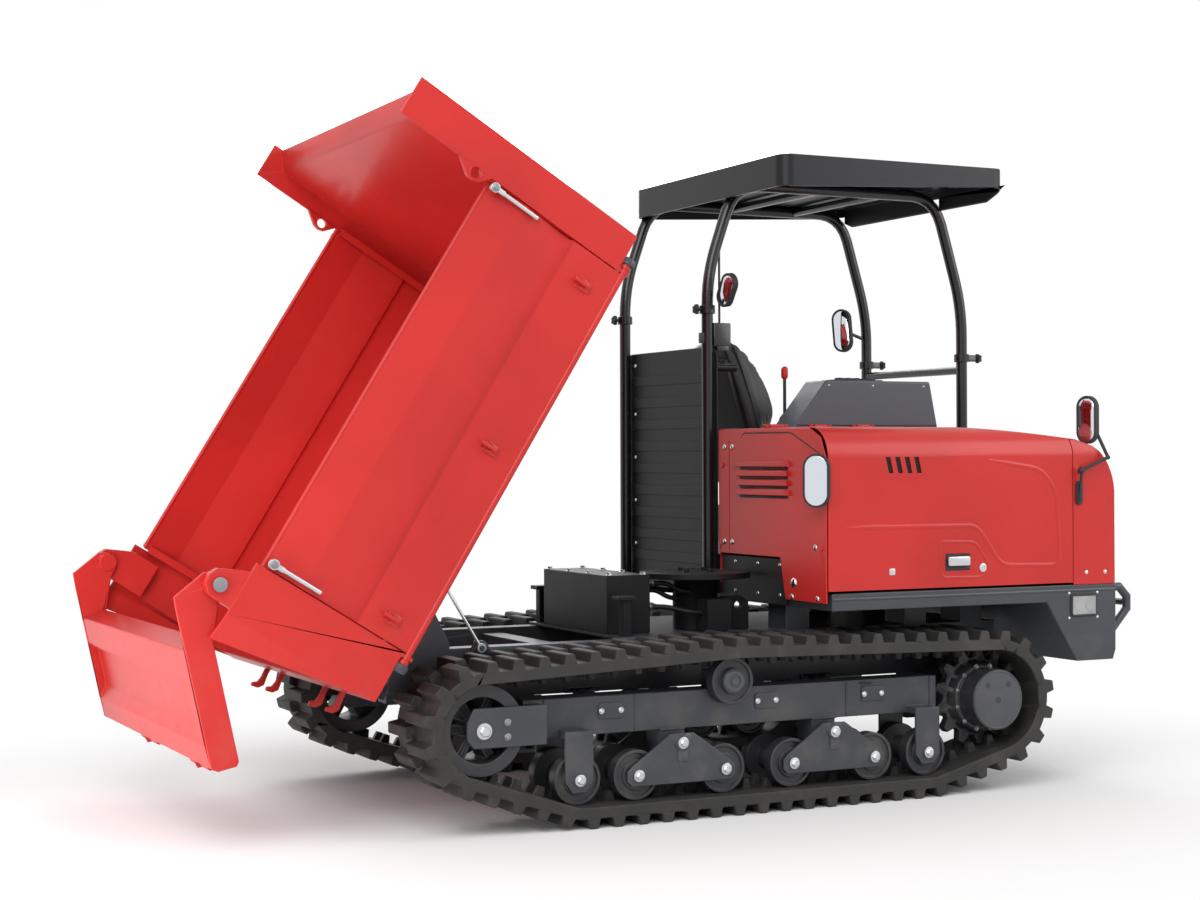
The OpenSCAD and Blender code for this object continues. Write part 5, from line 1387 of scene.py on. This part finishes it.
@dataclass
class Platform(Assembly):
    """Skirt, bumper and lamps."""

    half: float = 832.0
    floor_z: float = 806.0
    sill_z: float = 783.0
    sill_span: tuple[float, float] = (-764.0, 600.0)
    lamp: tuple[float, float] = (438.0, 722.0)
    bezel: tuple[float, float, float] = (122.0, 80.0, 12.0)
    lamp_bolts: tuple[float, float] = (72.0, 50.0)
    mat_span: tuple[float, float] = (20.0, 455.0)
    mat_sides: tuple[float, float] = (100.0, 790.0)
    mat_thick: float = 7.0
    rib: float = 3.0
    rib_pitch: float = 30.0

    def build(self, shop: Workshop) -> None:
        """Skins the skirt and lamps and adds sill, bezels and mat.

        Args:
            shop: Workshop that makes the pieces.
        """
        shop.skin("platform_skirt", CHARCOAL, 4.0, 3)
        shop.skin("work_lights", LAMP_GLASS, 3.0)
        for side in Side:
            self.sill(shop, side)
            self.lamp_trim(shop, side)
        self.mat(shop)

    def sill(self, shop: Workshop, side: Side) -> None:
        """Folded sill along the platform's edge.

        Args:
            shop: Workshop that makes the pieces.
            side: Side that is dressed.
        """
        rear, front = (np.array([s, side.sign * self.half, self.sill_z]) for s in self.sill_span)
        fold = carried(bead_profile(13.0, 3.4), np.linspace(rear, front, 60), side.out)
        shop.piece(f"sill_fold_{side.label}", fold, CHARCOAL, "chassis")

    def lamp_trim(self, shop: Workshop, side: Side) -> None:
        """Dark bezel round the lamp and four small bolts.

        Args:
            shop: Workshop that makes the pieces.
            side: Side that is dressed.
        """
        s, z = self.lamp
        outline = rectangle(*self.bezel)
        y = np.full(len(outline), side.sign * (self.half + 2))
        loop = np.column_stack([s + outline[:, 0], y, z + outline[:, 1]])
        shop.piece(f"lamp_bezel_{side.label}", carried(circle(6.0, 10), loop, Y, True), BLACK_PLASTIC, "chassis")
        a, b = self.lamp_bolts
        spots = np.array([(s + x, side.sign * self.half, z + lift) for x in (-a, a) for lift in (-b, b)])
        shop.piece(f"lamp_bolts_{side.label}", dome_bolt(6).stamped(spots, side.along, Z), ZINC, "chassis")

    def mat(self, shop: Workshop) -> None:
        """Ribbed foot mat: height follows a rectified sine across the machine.

        Args:
            shop: Workshop that makes the pieces.
        """
        right, left = self.mat_sides
        across = np.linspace(right, left, 139)
        rise = self.mat_thick + self.rib * np.abs(np.sin(pi * (across - right) / self.rib_pitch))
        loop = np.concatenate([np.column_stack([across, rise]), [[left, 0.0], [right, 0.0]]])
        grid = np.stack([np.column_stack([np.full(len(loop), s), loop[:, 0], self.floor_z + loop[:, 1]])
                         for s in self.mat_span])
        shop.piece("foot_mat", rings(grid), TRIM_RUBBER, "chassis")


@dataclass
class OperatorStation(Assembly):
    """Canopy, rear guard, console and levers."""

    roof: tuple[float, float, float, float] = (-735.0, 366.0, -428.0, 862.0)
    roof_top: float = 2543.0
    crown_inset: float = 150.0
    tube: float = 24.3
    bend: float = 130.0
    rail_z: float = 2478.0
    rail_span: tuple[float, float] = (-672.0, 350.0)
    knee_z: tuple[float, float] = (2095.0, 1994.0)
    floor_z: float = 806.0
    foot_drop: float = 46.0
    posts: tuple[float, float] = (62.0, 822.0)
    post_s: tuple[float, float] = (-806.0, 495.0)
    collar_z: tuple[float, float] = (1929.0, 1749.0)
    knob_z: tuple[float, float] = (1947.0, 1767.0)
    bar_z: float = 1713.0
    roof_bars: tuple[float, ...] = (-562.0, -245.0, 85.0)
    stay: tuple[tuple[float, float, float], ...] = ((-748, 62, 1880), (-748, 62, 2222))
    rear_arm: tuple[tuple[float, float, float], ...] = ((-748, 62, 2008), (-744, 10, 2016))
    front_arm: tuple[tuple[float, float, float], ...] = ((495, 822, 1886), (370.7, 822, 1928))
    arm_gap: float = 12.0
    guard_face: float = -779.0
    guard_bolts_y: tuple[float, float] = (110.0, 774.0)
    guard_bolts_z: tuple[float, ...] = (944.0, 1137.0, 1330.0, 1523.0, 1740.0)
    plate_bolts_y: tuple[float, ...] = (-470.0, -300.0, -120.0)
    plate_bolts_z: tuple[float, float] = (780.0, 900.0)
    console: tuple[float, float, float, float] = (-520.0, 215.0, -150.0, 20.0)
    console_z: tuple[float, float] = (1445.0, 1650.0)
    switch_plate: float = -170.0
    rockers: tuple[float, ...] = (-250.0, -210.0, -170.0)
    rocker_shift: float = 22.0
    dial: float = -95.0
    dial_turn: float = 45.0
    screws: tuple[float, ...] = (-340.0, -120.0, 140.0)
    levers: dict[str, tuple[float, float, float]] = field(
        default_factory=lambda: {"dump_lever": (-426.0, 67.0, 1674.0), "travel_lever": (-150.0, 67.0, 1621.0)})
    pear: float = 26.5
    grip: float = 14.8
    grip_length: float = 27.0

    def build(self, shop: Workshop) -> None:
        """Skins the station's nodes and adds its fittings.

        Args:
            shop: Workshop that makes the pieces.
        """
        shop.skin("canopy_roof", ROOF_PLASTIC, 8.0, 3)
        shop.skin("rear_guard", SATIN_BLACK, 3.0)
        shop.skin("console", GREY_PLASTIC, 9.0, 3)
        shop.skin("dump_lever", BLACK_PLASTIC, 2.0)
        shop.skin("travel_lever", BLACK_PLASTIC, 2.0)
        self.canopy(shop)
        self.post_knobs(shop)
        self.roof_press(shop)
        self.guard_bolts(shop)
        self.switches(shop)
        self.console_trim(shop)
        self.knobs(shop)

    def canopy(self, shop: Workshop) -> None:
        """The canopy's frame: both sides, the bars between them and the mirrors' mounts, as one piece.

        Args:
            shop: Workshop that makes the pieces.
        """
        shapes = [shape for y in self.posts for shape in self.canopy_side(y)]
        right, left = self.posts
        bars = [((self.post_s[1], right, self.bar_z), (self.post_s[1], left, self.bar_z))]
        bars += [((s, right, self.rail_z), (s, left, self.rail_z)) for s in self.roof_bars]
        shapes += [carried(circle(0.75 * self.tube, 22), np.array(bar, float), Z) for bar in bars]
        shapes += self.mirror_mounts()
        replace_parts(shop.piece("canopy_tubes", shapes, GLOSS_BLACK, "chassis", 40.0), "canopy_frame")

    def canopy_side(self, y: float) -> list[Shape]:
        """One side: a circle carried along a polyline whose corners are rounded, with feet, collars and a lug.

        Args:
            y: Place of the side across the machine.
        Returns:
            Its shapes.
        """
        r, low, (back, front) = self.tube, self.floor_z, self.post_s
        foot = low - self.foot_drop
        corners = [(back, y, foot), (back, y, self.knee_z[0]), (self.rail_span[0], y, self.rail_z),
                   (self.rail_span[1], y, self.rail_z), (front, y, self.knee_z[1]), (front, y, low)]
        line = thickened(rounded(corners, self.bend, 14, False), 40.0)
        collar = turned([(r + 7, 0), (r + 9, 2), (r + 9, 34), (r + 7, 36)], 32)
        return [carried(circle(r, 28), line, Y),
                plate(rectangle(39, 28, 4), 38, 2).moved((back + 19.5, y, foot), X, Y),
                turned([(r + 5, 0), (r + 5, 9), (r + 3, 12)], 32).moved((front, y, low), X, Y),
                collar.moved((back, y, self.collar_z[0]), X, Y),
                collar.moved((front, y, self.collar_z[1]), X, Y),
                plate(rectangle(70.3, 24, 4), 30, 2).moved((front + 35.15, y, self.collar_z[1] + 3), X, Y)]

    def mirror_mounts(self) -> list[Shape]:
        """Lamp box and its lugs on the rear post, the stay rod, and an arm that ends short of each mirror's ball.

        Returns:
            Their shapes.
        """
        shapes = [plate(rectangle(82, 56, 7), 95, 4).moved((-746.7, 64, 1797), X, Y),
                  plate(rectangle(55.8, 46, 5), 27, 0.5).moved((-741.6, 63, 1775), X, Y),
                  plate(rectangle(36.3, 24, 3), 44, 2).moved((-824.2, 62, 1806), X, Y),
                  carried(circle(5.0, 12), np.array(self.stay, float), X)]
        for (start, ball), thick in ((self.rear_arm, 6.0), (self.front_arm, 8.0)):
            way = np.subtract(ball, start)
            end = np.asarray(ball) - self.arm_gap * way / np.linalg.norm(way)
            shapes.append(carried(circle(thick, 14), np.array([start, end]), Z))
        return shapes

    def post_knobs(self, shop: Workshop) -> None:
        """Star knobs that clamp the collars of the four posts.

        Args:
            shop: Workshop that makes the pieces.
        """
        back, front = self.post_s
        rear = np.array([(back - self.tube - 9, y, self.knob_z[0]) for y in self.posts])
        fore = np.array([(front + self.tube + 46, y, self.knob_z[1]) for y in self.posts])
        knob = star_knob(19.0, 20.0)
        shop.piece("post_knobs", [knob.stamped(rear, -Y, Z), knob.stamped(fore, Y, Z)], BLACK_PLASTIC, "chassis")

    def roof_press(self, shop: Workshop) -> None:
        """Pressed rib round the roof's crown.

        Args:
            shop: Workshop that makes the pieces.
        """
        (s0, s1, y0, y1), inset = self.roof, self.crown_inset
        front = s1 - inset - 10
        crown = [(s0 + inset, y0 + inset), (front, y0 + inset), (front, y1 - inset), (s0 + inset, y1 - inset)]
        loop = [np.array([s, y, self.roof_top]) for s, y in crown]
        shop.piece("roof_rib", ridge(loop, 46.0, 5.0, 90.0, Z, True), ROOF_PLASTIC, "chassis")

    def guard_bolts(self, shop: Workshop) -> None:
        """Bolts at the edges of the rear guard and on the black plate below the louvres.

        Args:
            shop: Workshop that makes the pieces.
        """
        spots = [(self.guard_face, y, z) for y in self.guard_bolts_y for z in self.guard_bolts_z]
        spots += [(self.guard_face, y, z) for y in self.plate_bolts_y for z in self.plate_bolts_z]
        shop.piece("rear_guard_bolts", dome_bolt(9).stamped(np.array(spots), -Y, Z), ZINC, "chassis")

    def switches(self, shop: Workshop) -> None:
        """Switch plate with rockers and a dial on top of the console.

        Args:
            shop: Workshop that makes the pieces.
        """
        middle, high = (self.console[2] + self.console[3]) / 2, self.console_z[1]
        base = plate(rectangle(250, 110, 14), 5, 2).moved((self.switch_plate, middle, high), X, Y)
        shop.piece("console_switch_plate", base, BLACK_PLASTIC, "chassis")
        spots = np.array([(s, middle - self.rocker_shift, high + 4.5) for s in self.rockers])
        rockers = plate(rectangle(24, 40, 4), 9, 3).stamped(spots, X, Y)
        shop.piece("console_rockers", rockers, TRIM_RUBBER, "chassis")
        dial = joined([turned([(36, -1), (36, 6), (32, 8), (30, 5), (6, 5)], 40),
                       turned([(5, 4), (5, 9), (3, 10)], 16)])
        shop.piece("console_dial", dial.moved((self.dial, middle, high + 4.5), X, Y), BLACK_PLASTIC, "chassis")
        turn = cos(radians(self.dial_turn)) * X + sin(radians(self.dial_turn)) * Y
        hand = plate(np.array([(-2.2, -4.0), (2.2, -4.0), (1.0, 24.0), (-1.0, 24.0)]), 1.6, 0.4)
        hand = hand.moved((self.dial, middle, high + 10), turn, np.cross(Z, turn))
        shop.piece("console_dial_hand", hand, LAMP_GLASS, "chassis")

    def console_trim(self, shop: Workshop) -> None:
        """Joint line along the console's side and its screws.

        Args:
            shop: Workshop that makes the pieces.
        """
        (s0, s1, y, _), (low, high) = self.console, self.console_z
        joint = np.linspace((s0 + 20.0, y, low + 16.0), (s1 - 12.0, y, low + 16.0), 40)
        shop.piece("console_joint", carried(bead_profile(6.0, 1.2), joint, -Y), TRIM_RUBBER, "chassis")
        spots = np.array([(s, y + 1.5, high - 22.0) for s in self.screws])
        shop.piece("console_screws", dome_bolt(7).stamped(spots, X, Z), STEEL, "chassis")

    def knobs(self, shop: Workshop) -> None:
        """A pear-shaped knob, its radius a sine stretched below the middle, and a slim capsule grip.

        Args:
            shop: Workshop that makes the pieces.
        """
        a = np.linspace(0.04 * pi, 0.93 * pi, 14)
        pear = [(13, -36), (15, -30)] + [(self.pear * sin(x) ** 0.9, -self.pear * cos(x)) for x in a[2:]]
        ends = [(self.grip * sin(x), -self.grip * cos(x)) for x in np.linspace(0.1 * pi, 0.5 * pi, 7)]
        grip = ends + [(r, self.grip_length - z) for r, z in ends[::-1]]
        for (node, spot), shape, finish in zip(self.levers.items(), (grip, pear), (RED, BLACK_PLASTIC)):
            shop.piece(f"{node}_knob", turned(shape, 32).moved(spot, X, Y), finish, node, 50.0)


@dataclass
class MirrorHead:
    """One oval mirror: its place, turn about the upright, size, tilt, and how far glass and rim stand out."""

    node: str
    ball: tuple[float, float, float]
    turn: float
    width: float
    length: float
    tilt: float = 0.0
    crown: float = 9.0
    proud: float = 5.0
    bead: float = 5.0
    face: float = 30.0
    rim_inset: float = 9.0
    glass_inset: float = 16.0

    def dress(self, shop: Workshop) -> None:
        """Rounded shell, rim and slightly domed glass.

        Args:
            shop: Workshop that makes the pieces.
        """
        shop.skin(self.node, BLACK_PLASTIC, 7.0, 4)
        a, b = radians(self.turn), radians(self.tilt)
        forward = np.array([cos(a), sin(a) * cos(b), sin(a) * sin(b)])
        up = np.array([0.0, -sin(b), cos(b)])
        right = np.cross(forward, up)
        origin = np.asarray(self.ball) - self.face * forward
        rim = stadium(self.width - self.rim_inset, self.length - self.rim_inset, 48)
        loop = origin + (self.bead - self.proud) * forward + rim[:, :1] * right + rim[:, 1:] * up
        shop.piece(f"{self.node}_rim", carried(circle(self.bead, 10), loop, forward, True), BLACK_PLASTIC, self.node)
        pane = stadium(self.width - self.glass_inset, self.length - self.glass_inset, 48)
        glass = dome(pane, self.crown, 1.0, 15).moved(origin, right, up)
        shop.piece(f"{self.node}_glass", glass, SILVERING, self.node, 60.0)


@dataclass
class Mirrors(Assembly):
    """The four mirrors; the rear right one is flatter, because the lowered bed passes close behind it."""

    heads: tuple[MirrorHead, ...] = (
        MirrorHead("mirror_rear_right", (-822.0, -822.0, 1238.0), 40.0, 104.0, 204.0, crown=1.4, proud=1.0),
        MirrorHead("mirror_front_right", (511.0, -795.0, 1476.0), 14.0, 96.0, 196.0),
        MirrorHead("mirror_rear_post", (-742.0, -28.0, 2026.0), 12.0, 84.0, 150.0, 35.0),
        MirrorHead("mirror_front_left", (370.7, 822.0, 1928.0), 28.0, 96.0, 206.0, -8.0),
    )

    def build(self, shop: Workshop) -> None:
        """Dresses each mirror."""
        for head in self.heads:
            head.dress(shop)


@dataclass
class SoftPad:
    """A stuffed seat pad: its CAD solid, its own frame, its size and its sewn channels."""

    node: str
    centre: tuple[float, float, float]
    lean: float
    length: float
    width: float
    thick: float
    channels: tuple[float, ...]
    voxel: float = 0.006
    swell: float = 0.012
    pinned: float = 7.0
    frames: int = 20
    pressure: float = 4.0
    stiffness: float = 12.0
    channel_depth: float = 8.0
    crease_depth: float = 5.0
    piping_height: float = 0.40
    directions: int = 120

    @property
    def axes(self) -> Array:
        """Rows: along the pad, across it and out of its face."""
        out = np.array([sin(radians(self.lean)), 0.0, cos(radians(self.lean))])
        return np.stack([np.cross(Y, out), Y, out])

    def local(self, points: Array) -> Array:
        """Metres in the row frame to millimetres in the pad's frame."""
        return (points * MM - SPROCKET_X * X - np.asarray(self.centre)) @ self.axes.T

    def row(self, points: Array) -> Array:
        """Millimetres in the pad's frame to metres in the row frame."""
        return (points @ self.axes + np.asarray(self.centre) + SPROCKET_X * X) / MM

    def dress(self, shop: Workshop) -> None:
        """Remeshes a slightly smaller copy, swells it, sews it and adds its piping.

        Args:
            shop: Workshop that makes the pieces.
        """
        obj = self.blank()
        self.inflate(obj)
        outline = self.sew(obj)
        smooth = obj.modifiers.new("smooth", "SUBSURF")
        smooth.levels = smooth.render_levels = 1
        obj.data.shade_smooth()
        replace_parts(obj, self.node)
        shop.dress(obj, COVER, "seat")
        piping = carried(circle(4.2, 10), outline, self.axes[2], True)
        shop.piece(f"{self.node}_piping", piping, TRIM_RUBBER, "seat", 80.0)

    def blank(self) -> bpy.types.Object:
        """Copy of the CAD solid, merged, drawn in by 2% and voxel remeshed.

        Returns:
            The object, at the origin.
        """
        bm = merged(self.node)
        mesh = bpy.data.meshes.new(self.node + "_soft")
        bm.to_mesh(mesh)
        bm.free()
        shrunk = self.local(points_of(mesh)) * np.array([0.98, 0.98, 0.97])
        mesh.vertices.foreach_set("co", self.row(shrunk).astype(np.float32).ravel())
        obj = linked(self.node + "_soft", mesh)
        remesh = obj.modifiers.new("remesh", "REMESH")
        remesh.mode, remesh.voxel_size = "VOXEL", self.voxel
        baked(obj)
        return obj

    def inflate(self, obj: bpy.types.Object) -> None:
        """Cloth under pressure with the base pinned; no point moves more than the swell.

        Args:
            obj: The pad, changed in place.
        """
        start = points_of(obj.data)
        base = obj.vertex_groups.new(name="base")
        low = np.flatnonzero(self.local(start)[:, 2] < self.pinned)
        base.add(low.tolist(), 1.0, "REPLACE")
        cloth = obj.modifiers.new("stuffing", "CLOTH")
        rules = cloth.settings
        rules.use_pressure, rules.uniform_pressure_force = True, self.pressure
        rules.effector_weights.gravity = 0.0
        rules.vertex_group_mass = "base"
        rules.tension_stiffness = rules.compression_stiffness = self.stiffness
        rules.quality = 5
        cloth.point_cache.frame_start, cloth.point_cache.frame_end = 1, self.frames
        for step in range(1, self.frames + 1):
            bpy.context.scene.frame_set(step)
        baked(obj)
        bpy.context.scene.frame_set(1)
        move = points_of(obj.data) - start
        far = np.linalg.norm(move, axis=1, keepdims=True)
        spots = start + move * np.minimum(1.0, self.swell / np.maximum(far, 1e-9))
        obj.data.vertices.foreach_set("co", spots.astype(np.float32).ravel())
        obj.vertex_groups.clear()

    def sew(self, obj: bpy.types.Object) -> Array:
        """Presses the sewn channels and creases and finds the edge for the piping.

        A channel lowers the face by its depth times a bell of the distance along the pad, over the middle of its
        width; a crease does the same along each side of that middle.

        Args:
            obj: The stuffed pad.
        Returns:
            Loop of points in millimetres from the sprocket axle.
        """
        spots = self.local(points_of(obj.data))
        u, v = 2 * spots[:, 0] / self.length, 2 * spots[:, 1] / self.width
        bell = np.exp(-(((u[:, None] - np.array(self.channels)[None]) / 0.03) ** 2)).max(1)
        face = np.clip((spots[:, 2] - 0.55 * self.thick) / (0.2 * self.thick), 0.0, 1.0)
        side = np.clip((0.74 - np.abs(v)) / 0.1, 0.0, 1.0)
        crease = np.exp(-(((np.abs(v) - 0.7) / 0.022) ** 2)) * np.clip((0.9 - np.abs(u)) / 0.08, 0.0, 1.0)
        spots[:, 2] -= face * (self.channel_depth * bell * side + self.crease_depth * crease)
        obj.data.vertices.foreach_set("co", self.row(spots).astype(np.float32).ravel())
        return self.edge(spots) @ self.axes + np.asarray(self.centre)

    def edge(self, spots: Array) -> Array:
        """The pad's edge: the furthest point in each direction within a band about the piping, then smoothed.

        Args:
            spots: The pad's points in its own frame.
        Returns:
            One point for each direction, at the piping's height.
        """
        n, height = self.directions, self.piping_height * self.thick
        band = spots[np.abs(spots[:, 2] - height) < 0.12 * self.thick]
        turn = np.arctan2(band[:, 1], band[:, 0])
        sector = ((turn + pi) / (2 * pi) * n).astype(int) % n
        reach = np.zeros(n)
        np.maximum.at(reach, sector, np.hypot(band[:, 0], band[:, 1]))
        reach = (np.roll(reach, 1) + 2 * reach + np.roll(reach, -1)) / 4
        a = (np.arange(n) + 0.5) / n * 2 * pi - pi
        return np.column_stack([reach * np.cos(a), reach * np.sin(a), np.full(n, height)])


@dataclass
class Seat(Assembly):
    """Seat pan and its two stuffed pads."""

    pads: tuple[SoftPad, ...] = (
        SoftPad("seat_cushion", (-109.5, 440.0, 1175.0), 0.0, 389.0, 460.0, 117.0, (-0.36, 0.02, 0.40)),
        SoftPad("seat_backrest", (-514.8, 440.0, 1524.0), 73.5, 667.5, 430.0, 105.0, (-0.6, -0.22, 0.2, 0.62)),
    )

    def build(self, shop: Workshop) -> None:
        """Skins the pan and stuffs the pads.

        Args:
            shop: Workshop that makes the pieces.
        """
        shop.skin("seat_pan", BLACK_PLASTIC, 4.0, 3)
        for pad in self.pads:
            pad.dress(shop)


@dataclass(frozen=True)
class Lamp:
    """Large square lamp, in metres and watts; a hidden one gives light but isn't seen."""

    name: str
    spot: tuple[float, float, float]
    size: float
    watts: float
    hidden: bool = False

    def hang(self, aim: float) -> None:
        """Hangs the lamp so that it faces a height on the object's middle.

        Args:
            aim: Height that it faces, in metres.
        """
        data = bpy.data.lights.new(self.name, "AREA")
        data.size, data.energy = self.size, self.watts
        lamp = linked(self.name, data)
        lamp.visible_camera = lamp.visible_glossy = not self.hidden
        back = np.asarray(self.spot) - aim * Z
        back = back / np.linalg.norm(back)
        right = np.cross(Z, back) / np.linalg.norm(np.cross(Z, back))
        axes = np.column_stack([right, np.cross(back, right), back])
        lamp.matrix_world = Matrix.Translation(self.spot) @ Matrix(axes.tolist()).to_4x4()


@dataclass
class Studio(Assembly):
    """Pale floor, soft light and the camera at the photograph's place."""

    spot: tuple[float, float, float] = (-3698.26, -7396.69, 1330.47)
    yaw: float = 26.236
    pitch: float = 0.2003
    roll: float = -0.2103
    focal: float = 2037.78
    frame_width: float = 1200.0
    sensor: float = 36.0
    fill: float = 0.5
    floor_half: float = 60.0
    fade: tuple[float, float] = (1.6, 4.2)
    aim: float = 1.1
    lamps: tuple[Lamp, ...] = (
        Lamp("key_light", (-4.2, -5.4, 5.6), 5.0, 350.0),
        Lamp("low_light", (-3.2, -0.6, 0.1), 2.6, 80.0, True),
        Lamp("side_light", (5.6, -4.4, 4.4), 4.0, 190.0),
        Lamp("back_light", (2.0, 6.0, 5.5), 5.0, 230.0),
    )

    def build(self, shop: Workshop) -> None:
        """Sets the stage; nothing here belongs to the object.

        Args:
            shop: Workshop that makes the pieces; not used.
        """
        bpy.context.scene.view_settings.view_transform = "Standard"
        self.world()
        self.floor()
        for lamp in self.lamps:
            lamp.hang(self.aim)
        self.camera()

    def world(self) -> None:
        """White to the eye and to reflections, dimmer as a lamp."""
        world = bpy.context.scene.world or bpy.data.worlds.new("studio")
        bpy.context.scene.world = world
        world.use_nodes = True
        graph = Graph(world.node_tree)
        level = self.fill + (1.0 - self.fill) * self.seen(graph)
        back = graph.node("ShaderNodeBackground", sockets={"Color": WHITE, "Strength": level})
        graph.node("ShaderNodeOutputWorld", sockets={"Surface": back})

    @staticmethod
    def seen(graph: Graph) -> Wire:
        """One for rays of the camera, reflections and glass, else zero.

        Args:
            graph: The material's graph.
        Returns:
            The mask.
        """
        rays = [graph.node("ShaderNodeLightPath", out=name)
                for name in ("Is Camera Ray", "Is Glossy Ray", "Is Transmission Ray")]
        return graph.node("ShaderNodeMath", {"operation": "MINIMUM"}, {0: rays[0] + rays[1] + rays[2], 1: 1.0})

    def floor(self) -> None:
        """Large pale floor that fades to plain white away from the object and keeps its shadow."""
        h = self.floor_half
        mesh = bpy.data.meshes.new("floor")
        mesh.from_pydata([(-h, -h, 0), (h, -h, 0), (h, h, 0), (-h, h, 0)], [], [(0, 1, 2, 3)])
        material = bpy.data.materials.new("studio_floor")
        material.use_nodes = True
        graph = Graph(material.node_tree)
        oval = graph.place((1.0, 1.4, 0.0))
        far = graph.node("ShaderNodeVectorMath", {"operation": "LENGTH"}, {0: oval}, out="Value")
        tone = graph.mix(0.1 * graph.noise(1.2), srgb(243, 243, 243), srgb(236, 236, 236))
        matt = graph.node("ShaderNodeBsdfDiffuse", sockets={"Color": tone})
        white = graph.node("ShaderNodeEmission", sockets={"Color": WHITE, "Strength": 1.0})
        blend = graph.ramp(far, *self.fade) * self.seen(graph)
        both = graph.node("ShaderNodeMixShader", sockets={0: blend, 1: matt, 2: white})
        graph.node("ShaderNodeOutputMaterial", sockets={"Surface": both})
        mesh.materials.append(material)
        linked("floor", mesh)

    def camera(self) -> None:
        """Camera from yaw, pitch and roll: it looks along o, with r to the right and u up."""
        y, p, t = radians(self.yaw), radians(self.pitch), radians(self.roll)
        o = np.array([sin(y) * cos(p), cos(y) * cos(p), sin(p)])
        r = np.array([cos(y), -sin(y), 0.0])
        u = np.cross(r, o)
        axes = np.column_stack([cos(t) * r + sin(t) * u, -sin(t) * r + cos(t) * u, -o])
        data = bpy.data.cameras.new("camera")
        data.sensor_fit, data.sensor_width = "HORIZONTAL", self.sensor
        data.lens = self.focal * self.sensor / self.frame_width
        data.clip_end = 200.0
        camera = linked("camera", data)
        camera.matrix_world = Matrix.Translation(np.asarray(self.spot) / MM) @ Matrix(axes.tolist()).to_4x4()
        bpy.context.scene.camera = camera


def main() -> None:
    """Builds every sub-assembly in order and notes how many pieces were made."""
    logging.basicConfig(level=logging.INFO, format="%(message)s")
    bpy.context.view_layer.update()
    shop = Workshop()
    for part in (Undercarriage(), LiftGear(), TippingBed(), Platform(), EngineHood(), OperatorStation(), Mirrors(),
                 Seat(), Studio()):
        log.info("building %s", type(part).__name__)
        part.build(shop)
    bpy.context.view_layer.update()
    log.info("%d pieces", shop.count)


if __name__ == "__main__":
    main()
